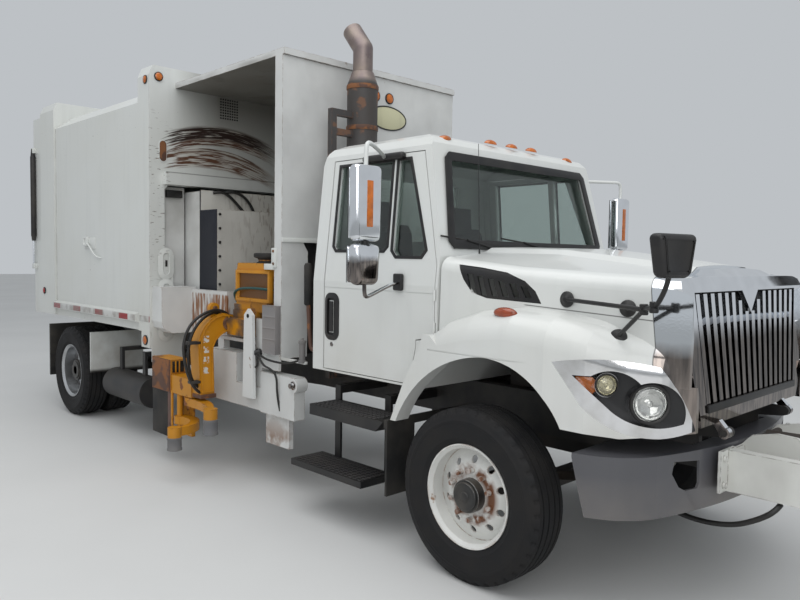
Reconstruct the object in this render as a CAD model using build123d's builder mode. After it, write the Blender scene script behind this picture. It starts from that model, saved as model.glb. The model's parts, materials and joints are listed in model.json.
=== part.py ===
"""Side-loading refuse truck on a two-axle chassis with the engine in front of the cab.

Millimetres. +X points forward, +Y to the truck's left and +Z up. The origin is on the ground,
under the middle of the truck's overall length and width. Places along the truck are given as
distances from the front axle, plus forward.
"""

import os

from build123d import *

os.makedirs("parts", exist_ok=True)

# Overall layout
wheelbase = 5950
front_reach = 1800
rear_reach = 7100
front_axle_x = (rear_reach - front_reach) / 2
rear_axle_x = front_axle_x - wheelbase
fit_gap = 0.3
panel_gap = 6
running_gap = 12

# Tyres and wheels
tyre_radius = 508
tyre_width = 279
tread_half_width = 106
shoulder_radius = 480
bead_radius = 286
bead_half_width = 105
flange_radius = 300
flange_width = 12
rim_wall = 14
stud_count = 10
stud_circle = 143
stud_radius = 15
stud_length = 42
hand_hole_circle = 204
hand_hole_radius = 21
hub_radius = 95
front_wheel_y = 1045
rear_outer_y = 1075
dual_spacing = 330
spindle_radius = 40

# Steering
kingpin_y = 880
kingpin_radius = 22
boss_radius = 44
boss_height = 110
fork_thick = 30
steer_arm_length = 180
steer_arm_thick = 24
tie_rod_radius = 20

# Frame
frame_half_width = 430
rail_height = 260
rail_flange = 80
rail_web = 10
frame_top_z = 1020
frame_front_x = front_axle_x + 1010
frame_rear_x = front_axle_x - 6800
cross_stations = (760, -1250, -2450, -3900, -5050, -6700)
cross_thick = 90

# Hood hinge
hood_pivot_x = front_axle_x + 1160
hood_pivot_z = 980
hood_pin_radius = 18
hood_ear_y = 458

# Cab
cab_back_x = front_axle_x - 1650
cab_front_x = front_axle_x - 400
cab_floor_z = 1035
cab_roof_z = 2700
cab_half_width = 1000
cab_belt_z = 1690
cab_eave_half = 905
cab_eave_z = 2590
cab_wall = 60
cowl_z = 1880
screen_top_x = front_axle_x - 560
door_front_x = front_axle_x - 425
door_back_x = front_axle_x - 1516
door_bottom_z = 1055
door_top_z = 2550
glass_thick = 8
screen_low_half = 880
screen_high_half = 800
back_window_half = 520

# Hood and fenders
hood_rear_x = front_axle_x - 385
hood_wall = 25
fender_half_width = 1140
fender_low_z = 995
strip_low_z = 835
fender_root_y = 400

# Grille
grille_bottom_z = 1035
opening_top_z = 1714
opening_bottom_z = 1100
opening_half_top = 722
opening_half_bottom = 626
notch_half = 114
notch_z = 1590
grille_bar_count = 16

# Bumper and hitch
bumper_top_z = 900
bumper_bottom_z = 585
bumper_wall = 12
bumper_front_x = front_axle_x + 1150
bumper_end_x = front_axle_x + 680
bumper_half_width = 1150
hitch_beam_y = 385
hitch_beam_width = 70
hitch_beam_top_z = 885
hitch_beam_bottom_z = 665
hitch_eye_radius = 25
hitch_lug_radius = 110
hitch_tip_x = front_axle_x + front_reach
hitch_eye_x = hitch_tip_x - hitch_lug_radius

# Refuse body
body_half_width = 1220
post_half_width = 1240
body_front_x = front_axle_x - 3830
body_post_x = front_axle_x - 4070
body_rear_post_x = front_axle_x - 6300
body_back_x = front_axle_x - 6750
body_bottom_z = 1130
body_eave_z = 3290
body_roof_z = 3430
body_roof_half = 1040
body_wall = 50
post_top_z = 3600
ledge_half_width = 1270
sill_inner_y = 330
sill_outer_y = 425
tip_pivot_x = body_back_x
tip_pivot_z = 1070
tip_ear_radius = 45
tip_pin_radius = 20
shelf_z = 2510
tailgate_pivot_x = body_back_x - 50
tailgate_pivot_z = 3545
tailgate_top_z = 3480
tailgate_back_x = front_axle_x - 7050

# Hopper
hopper_front_x = front_axle_x - 2090
hopper_half_width = 980
hopper_wall = 40
pit_half_width = 880
pit_top_z = 1540
pit_front_x = front_axle_x - 3000
canopy_z = 3420
bulkhead_thick = 100
bulkhead_low_z = 2000
leg_inner_y = 725

# Loading arm
boom_rear_x = front_axle_x - 2800
boom_front_x = front_axle_x - 2440
boom_bottom_z = 1190
boom_top_z = 1400
boom_left_y = 900
boom_right_y = -980
guide_wall = 15
guide_half_length = 735
arm_pivot_y = -1000
arm_pivot_z = 1280
arm_pin_radius = 35
arm_rear_x = front_axle_x - 2970
arm_front_x = front_axle_x - 2830
finger_pin_radius = 25
finger_pin_y = -1245
finger_height = 70


def block(x0, x1, y0, y1, z0, z1, mode=Mode.ADD):
    """A box between two corners."""
    with Locations(((x0 + x1) / 2, (y0 + y1) / 2, (z0 + z1) / 2)):
        Box(abs(x1 - x0), abs(y1 - y0), abs(z1 - z0), mode=mode)


def rod(start, end, radius, mode=Mode.ADD):
    """A round bar from one point to another."""
    axis = Vector(*end) - Vector(*start)
    with BuildSketch(Plane(origin=start, z_dir=axis)) as end_face:
        Circle(radius)
    extrude(end_face.sketch, amount=axis.length, mode=mode)


def side_plate(points, y0, y1, mode=Mode.ADD):
    """An outline in (x, z), made solid between two places across the truck."""
    low, high = sorted((y0, y1))
    with BuildSketch(Plane.XZ.offset(-low)) as outline:
        with BuildLine():
            Polyline(*points, close=True)
        make_face()
    extrude(outline.sketch, amount=low - high, mode=mode)


def front_plate(points, x0, x1, mode=Mode.ADD):
    """An outline in (y, z), made solid between two places along the truck."""
    with BuildSketch(Plane.YZ.offset(x0)) as outline:
        with BuildLine():
            Polyline(*points, close=True)
        make_face()
    extrude(outline.sketch, amount=x1 - x0, mode=mode)


def mirrored(points):
    """A right-hand outline in (y, z), carried on over the middle to the left."""
    return points + [(-y, z) for y, z in reversed(points)]


def ahead(distance):
    """A place along the truck, from its distance ahead of the front axle."""
    return front_axle_x + distance


def save(piece, name):
    """Label a finished piece and write it to its own file."""
    piece.part.label = name
    export_step(piece.part, f"parts/{name}.step")


# Frame rails: two channels with flanges turned inward, the hood's hinge arms and the body's hinge plates
with BuildPart() as frame_rails:
    for side in (-1, 1):
        outer = side * frame_half_width
        web = side * (frame_half_width - rail_web)
        lip = side * (frame_half_width - rail_flange)
        low = frame_top_z - rail_height
        front_plate(
            [(outer, low), (outer, frame_top_z), (lip, frame_top_z), (lip, frame_top_z - rail_web),
             (web, frame_top_z - rail_web), (web, low + rail_web), (lip, low + rail_web), (lip, low)],
            frame_rear_x, frame_front_x)
        side_plate([(frame_front_x - 80, 925), (hood_pivot_x, hood_pivot_z - 30), (hood_pivot_x, hood_pivot_z + 25),
                    (frame_front_x - 80, 1015)], side * 405, side * 432)
        rod((hood_pivot_x, side * 405, hood_pivot_z), (hood_pivot_x, side * 432, hood_pivot_z), 28)
        rod((hood_pivot_x, side * 431, hood_pivot_z), (hood_pivot_x, side * 482, hood_pivot_z), hood_pin_radius)
        plate_outer = side * (frame_half_width + 20)
        side_plate([(tip_pivot_x - 48, 900), (tip_pivot_x + 110, 900), (tip_pivot_x + 40, tip_pivot_z + 35),
                    (tip_pivot_x - 30, tip_pivot_z + 35)], side * (frame_half_width - 1), plate_outer)
        rod((tip_pivot_x, plate_outer, tip_pivot_z), (tip_pivot_x, side * (sill_inner_y - 5), tip_pivot_z),
            tip_pin_radius)
save(frame_rails, "frame_rails")

# Crossmembers seated between the rail webs
with BuildPart() as crossmembers:
    inner = frame_half_width - rail_web - fit_gap
    low = frame_top_z - rail_height + rail_web + fit_gap
    for station in cross_stations:
        middle = ahead(station)
        block(middle - cross_thick / 2, middle + cross_thick / 2, -inner, inner, low + 40, low + 55)
        block(middle - cross_thick / 2, middle + cross_thick / 2, -inner, inner, low + 175, low + 190)
        block(middle - 8, middle + 8, -inner, inner, low + 54, low + 176)
save(crossmembers, "crossmembers")

# Front axle: a dropped beam with an upright boss at each end for the kingpin
axle_beam_half_x = 45
axle_drop = 70
beam_height = 90
beam_low_z = tyre_radius - axle_drop - beam_height / 2
with BuildPart() as front_axle:
    front_plate(mirrored([(-560, beam_low_z), (-700, tyre_radius - 50), (-kingpin_y, tyre_radius - 45),
                          (-kingpin_y, tyre_radius + 45), (-700, tyre_radius + 45),
                          (-560, beam_low_z + beam_height)]),
                front_axle_x - axle_beam_half_x, front_axle_x + axle_beam_half_x)
    for side in (-1, 1):
        foot = (front_axle_x, side * kingpin_y, tyre_radius - boss_height / 2)
        head = (front_axle_x, side * kingpin_y, tyre_radius + boss_height / 2)
        rod(foot, head, boss_radius)
        rod(foot, head, kingpin_radius + fit_gap, mode=Mode.SUBTRACT)
save(front_axle, "front_axle")

# Rear axle: a tube with a round housing in the middle and the pinion nose in front of it
rear_tube_radius = 70
rear_tube_half = 540
rear_spindle_half = 1120
housing_radius = 215
pinion_nose_x = rear_axle_x + 390
pinion_nose_z = tyre_radius + 60
with BuildPart() as rear_axle:
    rod((rear_axle_x, -rear_tube_half, tyre_radius), (rear_axle_x, rear_tube_half, tyre_radius), rear_tube_radius)
    rod((rear_axle_x, -rear_spindle_half, tyre_radius), (rear_axle_x, rear_spindle_half, tyre_radius),
        spindle_radius)
    with Locations((rear_axle_x, 0, tyre_radius)):
        Sphere(housing_radius)
    rod((rear_axle_x, 0, tyre_radius), (pinion_nose_x, 0, pinion_nose_z), 85)
save(rear_axle, "rear_axle")

# Leaf springs: each a bowed pack between two hangers under its rail
spring_y = frame_half_width - 40
spring_half_width = 38
spring_eye_z = frame_top_z - rail_height - 75
with BuildPart() as leaf_springs:
    for axle_x, seat_z, half_length, thick in (
            (front_axle_x, beam_low_z + beam_height, 620, 55),
            (rear_axle_x, tyre_radius + rear_tube_radius, 700, 90)):
        for side in (-1, 1):
            low, high = sorted((side * (spring_y - spring_half_width), side * (spring_y + spring_half_width)))
            front_end, rear_end = axle_x + half_length, axle_x - half_length
            with BuildSketch(Plane.XZ.offset(-low)):
                with BuildLine():
                    ThreePointArc((rear_end, spring_eye_z), (axle_x, seat_z + fit_gap), (front_end, spring_eye_z))
                    Line((front_end, spring_eye_z), (front_end, spring_eye_z + thick / 3))
                    ThreePointArc((front_end, spring_eye_z + thick / 3), (axle_x, seat_z + thick),
                                  (rear_end, spring_eye_z + thick / 3))
                    Line((rear_end, spring_eye_z + thick / 3), (rear_end, spring_eye_z))
                make_face()
            extrude(amount=low - high)
            for hanger_x in (front_end, rear_end):
                block(hanger_x - 45, hanger_x + 45, low, high, spring_eye_z - 25,
                      frame_top_z - rail_height - fit_gap)
save(leaf_springs, "leaf_springs")

# Engine and gearbox as one plain block on four feet
gearbox_back_x = ahead(-1150)
with BuildPart() as engine:
    block(ahead(-330), ahead(700), -330, 330, 650, 1480)
    block(gearbox_back_x, ahead(-329), -230, 230, 640, 930)
    for side in (-1, 1):
        block(ahead(80), ahead(200), side * 320, side * 410, frame_top_z + fit_gap, frame_top_z + 60)
save(engine, "engine")

# Driveshaft from the gearbox to the pinion
with BuildPart() as driveshaft:
    rod((gearbox_back_x - 3, 0, 760), (pinion_nose_x + 10, 0, pinion_nose_z + 2), 50)
save(driveshaft, "driveshaft")

# Radiator behind the grille, standing on the rails
with BuildPart() as radiator:
    block(ahead(850), ahead(910), -540, 540, frame_top_z + fit_gap, 1640)
    block(ahead(835), ahead(925), -500, 500, 1640 - 1, 1690)
save(radiator, "radiator")


# Bumper: a bowed channel, open at the back, with a tow opening on each side
def bumper_outline(inset):
    """The bumper's front face in plan, moved inward by the inset."""
    with BuildLine() as line:
        front = (bumper_front_x - inset, 0)
        knee = (ahead(1005) - inset, bumper_half_width - 260 - inset / 2)
        bend = (ahead(885) - inset, bumper_half_width - 90 - inset * 0.8)
        end = (bumper_end_x, bumper_half_width - inset)
        ThreePointArc((knee[0], -knee[1]), front, knee)
        ThreePointArc(knee, bend, end)
        Line(end, (end[0], -end[1]))
        ThreePointArc((end[0], -end[1]), (bend[0], -bend[1]), (knee[0], -knee[1]))
    return line.line


with BuildPart() as bumper:
    with BuildSketch(Plane.XY.offset(bumper_bottom_z)):
        add(bumper_outline(0))
        make_face()
    extrude(amount=bumper_top_z - bumper_bottom_z)
    with BuildSketch(Plane.XY.offset(bumper_bottom_z - 1)):
        add(bumper_outline(bumper_wall))
        make_face()
    extrude(amount=bumper_top_z - bumper_bottom_z - bumper_wall + 1, mode=Mode.SUBTRACT)
    block(bumper_end_x - 1, frame_front_x + panel_gap, -frame_half_width - 90, frame_half_width + 90,
          bumper_bottom_z, bumper_top_z + 1, mode=Mode.SUBTRACT)
    for side in (-1, 1):
        front_plate([(side * 790, 800), (side * 775, 860), (side * 590, 845), (side * 585, 725),
                     (side * 600, 700), (side * 690, 700), (side * 740, 725)],
                    ahead(960), bumper_front_x, mode=Mode.SUBTRACT)
        side_plate([(bumper_end_x - 1, bumper_bottom_z - 1), (bumper_end_x + 70, bumper_bottom_z - 1),
                    (bumper_end_x - 1, bumper_top_z - 20)], side * 900, side * (bumper_half_width + 1),
                   mode=Mode.SUBTRACT)
        block(frame_front_x + fit_gap, bumper_front_x - 30, side * 380, side * 400, 700, bumper_top_z - bumper_wall + 1)
save(bumper, "bumper")

# Front hitch: two box beams on bolted flanges, round lugs at the tips and cross members between them
hitch_middle_z = (hitch_beam_bottom_z + hitch_beam_top_z) / 2
hitch_back_x = bumper_front_x + fit_gap
with BuildPart() as front_hitch:
    for side in (-1, 1):
        inner = side * (hitch_beam_y - hitch_beam_width / 2)
        outer = side * (hitch_beam_y + hitch_beam_width / 2)
        block(hitch_back_x, hitch_eye_x, inner, outer, hitch_beam_bottom_z, hitch_beam_top_z)
        block(hitch_back_x, bumper_front_x + 16, inner - side * 20, outer + side * 90,
              hitch_beam_bottom_z + 5, hitch_beam_top_z + 5)
        for bolt_z in (hitch_beam_bottom_z + 45, hitch_beam_top_z - 35):
            rod((bumper_front_x + 15, outer + side * 55, bolt_z), (bumper_front_x + 34, outer + side * 55, bolt_z), 15)
        rod((hitch_eye_x, inner, hitch_middle_z), (hitch_eye_x, outer, hitch_middle_z), hitch_lug_radius)
        rod((hitch_eye_x, inner, hitch_middle_z), (hitch_eye_x, outer, hitch_middle_z), hitch_eye_radius,
            mode=Mode.SUBTRACT)
        side_plate([(hitch_back_x, 780), (hitch_back_x, 880), (ahead(1200), 935), (ahead(1330), 965),
                    (ahead(1430), 960), (ahead(1470), 900), (ahead(1470), 780)], side * 180, side * 200)
    block(ahead(1390), ahead(1470), -hitch_beam_y + 20, hitch_beam_y - 20, 700, 781)
    block(hitch_back_x, bumper_front_x + 16, -hitch_beam_y, hitch_beam_y, 700, 880)
save(front_hitch, "front_hitch")

# The hitch's lift cylinder between its two upper plates
with BuildPart() as hitch_cylinder:
    rod((ahead(1210), -120, 900), (ahead(1210), 120, 900), 22)
    rod((ahead(1210), 0, 900), (ahead(1450), 0, 905), 38)
    rod((ahead(1449), 0, 905), (ahead(1640), 0, 908), 20)
    rod((ahead(1640), -45, 908), (ahead(1640), 45, 908), 32)
    for side in (-1, 1):
        rod((ahead(1210), side * 119, 900), (ahead(1210), side * (180 - fit_gap), 900), 22)
save(hitch_cylinder, "hitch_cylinder")


# Cab outlines: the side view and the front view, whose common solid is the cab
def cab_side(inset):
    """The cab's side view in (x, z), moved inward by the inset."""
    return [(cab_back_x + inset, cab_floor_z + inset), (cab_front_x - 130 - inset, cab_floor_z + inset),
            (cab_front_x - inset, 1330), (cab_front_x - inset, cowl_z - inset / 2),
            (screen_top_x - inset, cab_eave_z + 15 - inset), (screen_top_x - 45 - inset, cab_roof_z - 50 - inset),
            (screen_top_x - 140 - inset, cab_roof_z - 18 - inset), (screen_top_x - 300, cab_roof_z - inset),
            (cab_back_x + 330, cab_roof_z - inset), (cab_back_x + 120 + inset, cab_roof_z - 25 - inset),
            (cab_back_x + 35 + inset, cab_roof_z - 80 - inset), (cab_back_x + inset, cab_roof_z - 170 - inset)]


def cab_front(inset):
    """The cab's front view in (y, z), moved inward by the inset."""
    return mirrored([(-cab_half_width + inset, cab_floor_z - 1), (-cab_half_width + inset, cab_belt_z),
                     (-cab_eave_half + inset, cab_eave_z), (-cab_eave_half + 30 + inset, cab_roof_z - 55),
                     (-cab_eave_half + 110 + inset, cab_roof_z - 22), (-480, cab_roof_z + 1)])


def cab_form(inset):
    """The cab's whole form, moved inward by the inset."""
    with BuildPart() as form:
        side_plate(cab_side(inset), -cab_half_width - 10, cab_half_width + 10)
        front_plate(cab_front(inset), cab_back_x - 10, cab_front_x + 300, mode=Mode.INTERSECT)
    return form.part


def screen_slope(z):
    """Where the front pillar stands at a height."""
    share = (z - cowl_z) / (cab_eave_z + 15 - cowl_z)
    return cab_front_x + share * (screen_top_x - cab_front_x)


def wall_band(side, outer, inner):
    """The cab's side wall in (y, z), between two distances inward from its outer face."""
    return [(side * (cab_half_width - outer), cab_floor_z - 20), (side * (cab_half_width - outer), cab_belt_z),
            (side * (cab_eave_half - outer), cab_eave_z), (side * (cab_eave_half - inner), cab_eave_z),
            (side * (cab_half_width - inner), cab_belt_z), (side * (cab_half_width - inner), cab_floor_z - 20)]


def door_solid(side, gap, outer, inner):
    """The part of the side wall that lies inside the door's outline."""
    with BuildPart() as form:
        side_plate(door_outline(gap), side * (cab_eave_half - 100), side * (cab_half_width + 20))
        front_plate(wall_band(side, outer, inner), cab_back_x - 10, cab_front_x + 50, mode=Mode.INTERSECT)
    return form.part


def door_outline(gap):
    """The door's outline in (x, z), moved outward by the gap; its low front corner clears the fender."""
    return [(door_back_x - 2 * gap, door_bottom_z - gap), (ahead(-640) + gap, door_bottom_z - gap),
            (ahead(-583) + gap, 1300), (ahead(-583) + gap, 1345 - gap), (door_front_x + gap, 1372 - gap),
            (door_front_x + gap, cowl_z - 60), (screen_slope(door_top_z) - 70 + gap, door_top_z + gap),
            (door_back_x - 2 * gap, door_top_z + gap)]


def main_window(inset):
    """The door's main window in (x, z), moved inward by the inset."""
    low, high = 1905 + inset, 2515 - inset
    back, front = ahead(-1455) + inset, ahead(-882) - inset
    return [(back + 30, low), (front - 30, low), (front, low + 30), (front - 14, high), (back, high), (back, low + 30)]


def vent_window(inset):
    """The door's front window in (x, z), moved inward by the inset."""
    low, high = 1868 + inset, 2515 - inset
    back, front = ahead(-842) + inset, ahead(-520) - inset
    return [(back + 40, low), (front - 35, low), (front, low + 45), (ahead(-735) - inset, high),
            (back - 12, high), (back, low + 40)]


def windshield(inset):
    """The windshield's outline in (y, z), moved inward by the inset."""
    low, high = cowl_z + 60 + inset, cab_eave_z - 50 - inset
    return mirrored([(-screen_low_half + 40 + inset, low), (-screen_low_half + inset, low + 45),
                     (-screen_high_half + inset, high - 40), (-screen_high_half + 40 + inset, high)])


# The thin layer in the middle of the cab's wall that the glass is cut from
with BuildPart() as glass_skin:
    add(cab_form(cab_wall / 2 - glass_thick / 2))
    add(cab_form(cab_wall / 2 + glass_thick / 2), mode=Mode.SUBTRACT)

def hinge_barrels(side, radius, mode=Mode.ADD):
    """The two round knuckles on a door's hinge line, at its front edge."""
    for low_z in (1395, 1600):
        rod((door_front_x, side * cab_half_width, low_z), (door_front_x, side * cab_half_width, low_z + 70),
            radius, mode=mode)


# Cab shell with its door openings, windshield and back window cut out, on four feet
hinge_radius = 10
back_window_low_z = 2000
back_window_high_z = 2480
with BuildPart() as cab_shell:
    add(cab_form(0))
    add(cab_form(cab_wall), mode=Mode.SUBTRACT)
    for side in (-1, 1):
        add(door_solid(side, panel_gap, -10, cab_wall + fit_gap), mode=Mode.SUBTRACT)
        hinge_barrels(side, hinge_radius + panel_gap, mode=Mode.SUBTRACT)
    front_plate(windshield(0), screen_top_x - 250, cab_front_x + 50, mode=Mode.SUBTRACT)
    block(cab_back_x - 10, cab_back_x + cab_wall + 10, -back_window_half, back_window_half, back_window_low_z,
          back_window_high_z, mode=Mode.SUBTRACT)
    for side in (-1, 1):
        for foot_x in (cab_back_x + 150, cab_front_x - 250):
            block(foot_x - 50, foot_x + 50, side * 355, side * 425, frame_top_z + fit_gap, cab_floor_z + 1)
save(cab_shell, "cab_shell")

# Doors: the same wall inside the door outline, with the windows cut out and a recess for the handle
handle_x = ahead(-1430)
handle_low_z, handle_high_z = 1300, 1570
for name, side in (("door_right", -1), ("door_left", 1)):
    reach = (side * 700, side * (cab_half_width + 10))
    face = side * cab_half_width
    with BuildPart() as door:
        add(door_solid(side, 0, 0, cab_wall))
        side_plate(main_window(0), *reach, mode=Mode.SUBTRACT)
        side_plate(vent_window(0), *reach, mode=Mode.SUBTRACT)
        block(handle_x - 45, handle_x + 45, face - side * 22, face + side, handle_low_z, handle_high_z,
              mode=Mode.SUBTRACT)
        block(handle_x - 22, handle_x + 22, face - side * 6, face + side * 4, handle_low_z + 20, handle_high_z - 20)
        hinge_barrels(side, hinge_radius)
        for post_z in (handle_low_z + 20, handle_high_z - 50):
            block(handle_x - 15, handle_x + 15, face - side * 30, face - side * 5, post_z, post_z + 30)
        for crease_height in (1640, 1745):
            block(door_back_x - 1, door_front_x + 1, face - side * 4, face + side, crease_height, crease_height + 7,
                  mode=Mode.SUBTRACT)
    save(door, name)

# Door glass, seated in the two windows
for name, side in (("door_glass_right", -1), ("door_glass_left", 1)):
    reach = (side * 700, side * (cab_half_width + 10))
    with BuildPart() as window_frame:
        side_plate(main_window(fit_gap), *reach)
        side_plate(vent_window(fit_gap), *reach)
    with BuildPart() as pane:
        add(glass_skin.part)
        add(window_frame.part, mode=Mode.INTERSECT)
    save(pane, name)

# Windshield and back window
with BuildPart() as cab_glass:
    add(glass_skin.part)
    front_plate(windshield(fit_gap), screen_top_x - 250, cab_front_x + 50, mode=Mode.INTERSECT)
    block(cab_back_x + cab_wall / 2 - glass_thick / 2, cab_back_x + cab_wall / 2 + glass_thick / 2,
          -back_window_half + fit_gap, back_window_half - fit_gap, back_window_low_z + fit_gap,
          back_window_high_z - fit_gap)
save(cab_glass, "cab_glass")

# Dashboard across the cab, on a centre stack
cab_inner_floor_z = cab_floor_z + cab_wall + fit_gap
with BuildPart() as dashboard:
    side_plate([(cab_front_x - cab_wall - fit_gap, 1500), (cab_front_x - cab_wall - fit_gap, 1840),
                (ahead(-500), 1868), (ahead(-640), 1862), (ahead(-750), 1790), (ahead(-765), 1720),
                (ahead(-720), 1560), (ahead(-640), 1500)], -895, 895)
    side_plate([(ahead(-600), cab_inner_floor_z), (ahead(-600), 1580), (ahead(-740), 1660),
                (ahead(-780), 1500), (ahead(-720), cab_inner_floor_z)], -160, 160)
save(dashboard, "dashboard")

# Steering wheel on its column, in front of the left seat
steering_y = 430
wheel_rim_radius = 215
with BuildPart() as steering_wheel:
    column_top = Vector(ahead(-880), steering_y, 1850)
    column_foot = Vector(ahead(-748), steering_y, 1675)
    with Locations(Plane(origin=column_top, z_dir=column_top - column_foot)):
        Torus(wheel_rim_radius, 16)
        Cylinder(45, 40)
        for angle in (90, 210, 330):
            with Locations(Rotation(0, 0, angle)):
                with Locations((wheel_rim_radius / 2 + 5, 0, 0)):
                    Box(wheel_rim_radius - 15, 30, 14)
    rod(tuple(column_foot), tuple(column_top), 28)
    add(dashboard.part, mode=Mode.SUBTRACT)
save(steering_wheel, "steering_wheel")

# Seats: a cushion, a leaning back and a headrest on a pedestal
with BuildPart() as seats:
    for seat_y in (-430, 430):
        side_plate([(ahead(-1490), 1345), (ahead(-1030), 1345), (ahead(-1010), 1400), (ahead(-1040), 1475),
                    (ahead(-1490), 1450)], seat_y - 240, seat_y + 240)
        side_plate([(ahead(-1480), 1400), (ahead(-1370), 1430), (ahead(-1430), 2060), (ahead(-1470), 2120),
                    (ahead(-1530), 2110), (ahead(-1540), 2060)], seat_y - 230, seat_y + 230)
        side_plate([(ahead(-1530), 2090), (ahead(-1455), 2090), (ahead(-1470), 2290), (ahead(-1545), 2285)],
                   seat_y - 120, seat_y + 120)
        block(ahead(-1400), ahead(-1100), seat_y - 150, seat_y + 150, cab_inner_floor_z, 1346)
save(seats, "seats")


# Hood: a raised centre lofted from sections, with a lofted fender on each side, hollow and open below
def hood_section(x, half, edge_z, crown_z, dome_half, inset):
    """One cross-section of the raised centre, from its lower edge over the dome."""
    side, crown, edge = half - inset, crown_z - inset, edge_z - inset
    foot_z = edge - 75
    with BuildSketch(Plane.YZ.offset(x)) as section:
        with BuildLine():
            Line((-side - 12, 1250), (-side, foot_z))
            ThreePointArc((-side, foot_z), (-side + 30, edge - 12), (-side + 110, edge + 8))
            Line((-side + 110, edge + 8), (-dome_half - 70, crown - 42))
            Line((-dome_half - 70, crown - 42), (-dome_half, crown - 12))
            ThreePointArc((-dome_half, crown - 12), (0, crown), (dome_half, crown - 12))
            Line((dome_half, crown - 12), (dome_half + 70, crown - 42))
            Line((dome_half + 70, crown - 42), (side - 110, edge + 8))
            ThreePointArc((side - 110, edge + 8), (side - 30, edge - 12), (side, foot_z))
            Line((side, foot_z), (side + 12, 1250))
            Line((side + 12, 1250), (-side - 12, 1250))
        make_face()
    return section.sketch


# columns: distance ahead of the axle, half width, side edge height, crown height, half width of the dome
hood_sections = ((-385, 985, 1868, 1952, 500), (150, 950, 1818, 1942, 440), (600, 905, 1796, 1893, 380),
                 (930, 875, 1785, 1850, 330), (1140, 850, 1768, 1795, 300))
# columns: distance ahead of the axle, half width, shoulder height, top height, height at the hood's side
fender_sections = ((-385, 1140, 1290, 1405, 1430), (-250, 1140, 1350, 1490, 1520), (-50, 1140, 1400, 1552, 1590),
                   (236, 1140, 1430, 1585, 1615), (480, 1132, 1400, 1570, 1600), (700, 1085, 1350, 1530, 1590),
                   (880, 1000, 1310, 1490, 1580), (1020, 900, 1290, 1470, 1570), (1140, 770, 1280, 1460, 1560))


def fender_section(side, x, half, shoulder_z, top_z, join_z, inset):
    """One cross-section of a fender: an upright side, a rounded shoulder and a slope up to the hood's side."""
    wide = half - inset
    with BuildSketch(Plane.YZ.offset(x)) as section:
        with BuildLine():
            Line((side * fender_root_y, strip_low_z - 5), (side * wide, strip_low_z - 5))
            Line((side * wide, strip_low_z - 5), (side * wide, shoulder_z - inset))
            ThreePointArc((side * wide, shoulder_z - inset),
                          (side * (wide - 38), (0.35 * shoulder_z + 0.65 * top_z) - inset),
                          (side * (wide - 140), top_z - inset))
            Line((side * (wide - 140), top_z - inset), (side * (wide - 260), join_z - inset))
            Line((side * (wide - 260), join_z - inset), (side * fender_root_y, join_z - inset))
            Line((side * fender_root_y, join_z - inset), (side * fender_root_y, strip_low_z - 5))
        make_face()
    return section.sketch


def hood_form(inset):
    """The whole hood's form, moved inward by the inset."""
    with BuildPart() as form:
        loft([hood_section(ahead(distance), *sizes, inset) for distance, *sizes in hood_sections], ruled=True)
        for side in (-1, 1):
            loft([fender_section(side, ahead(distance), *sizes, inset) for distance, *sizes in fender_sections],
                 ruled=True)
    return form.part


# Where the hood ends and the grille surround begins, in (x, z), and the surround's own side view
surround_seam = [(ahead(925), 1900), (ahead(930), 1790), (ahead(980), 1360), (ahead(1100), 1030)]
surround_front = [(ahead(1133), 1030), (ahead(1135), 1100), (ahead(1084), 1730), (ahead(1060), 1790),
                  (ahead(1010), 1830)]


def surround_side(inset):
    """The right half of the surround's front view in (y, z), moved inward by the inset."""
    return [(-690 + inset, grille_bottom_z + inset), (-762 + inset, 1250), (-832 + inset, 1506),
            (-854 + inset, 1735), (-835 + inset, 1772 - inset), (-760, 1787 - inset), (-395, 1797 - inset),
            (-325, 1826 - inset), (-120, 1836 - inset)]


def surround_outline(inset):
    """The surround's front view in (y, z), moved inward by the inset."""
    return mirrored(surround_side(inset))


room_above = 200


def surround_space():
    """The room that the surround takes from the hood's front, open to the front and below."""
    with BuildPart() as form:
        side_plate(surround_seam + [(ahead(1100), 800), (ahead(1300), 800), (ahead(1300), 1950), (ahead(925), 1950)],
                   -900, 900)
        *flank, corner, shoulder, rise, crown, top = surround_side(-fit_gap)
        raised = [(y, z + room_above) for y, z in (shoulder, rise, crown, top)]
        front_plate(mirrored([(-690 - fit_gap, 700), *flank, corner, *raised]), ahead(900), ahead(1300),
                    mode=Mode.INTERSECT)
    return form.part


# Headlamp pods: outlines drawn on an upright plane across each nose, as (along the nose, height)
nose_start = Vector(ahead(520), -1100, 0)
nose_plane = Plane(origin=nose_start, x_dir=(2, 1, 0), z_dir=(1, -2, 0))
pod_reach = 260
lamp_bowls = ((471, 1161, 98), (262, 1241, 62))


def pod_prism(outline, start, end):
    """A pod outline drawn on the right nose, made solid between two depths along its normal."""
    with BuildPart() as prism:
        with BuildSketch(nose_plane.offset(start)):
            add(outline)
            make_face()
        extrude(amount=end - start)
    return prism.part


def bezel_outline(gap):
    """The pod's outer outline: a pointed eye with a blunt inner end."""
    with BuildLine() as line:
        ThreePointArc((-4 - gap, 1340), (250, 1372 + gap), (528 + gap, 1347 + gap))
        ThreePointArc((528 + gap, 1347 + gap), (632 + gap, 1200), (701 + gap, 1035 - gap))
        ThreePointArc((701 + gap, 1035 - gap), (375, 1006 - gap), (150, 1132 - gap))
        Line((150, 1132 - gap), (-4 - gap, 1340))
    return line.line


def lens_outline():
    """The pod's inner outline, around the lamps."""
    with BuildLine() as line:
        Line((103, 1283), (200, 1286))
        ThreePointArc((200, 1286), (300, 1318), (441, 1258))
        ThreePointArc((441, 1258), (560, 1258), (645, 1068))
        ThreePointArc((645, 1068), (470, 1047), (305, 1112))
        Line((305, 1112), (103, 1283))
    return line.line


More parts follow.
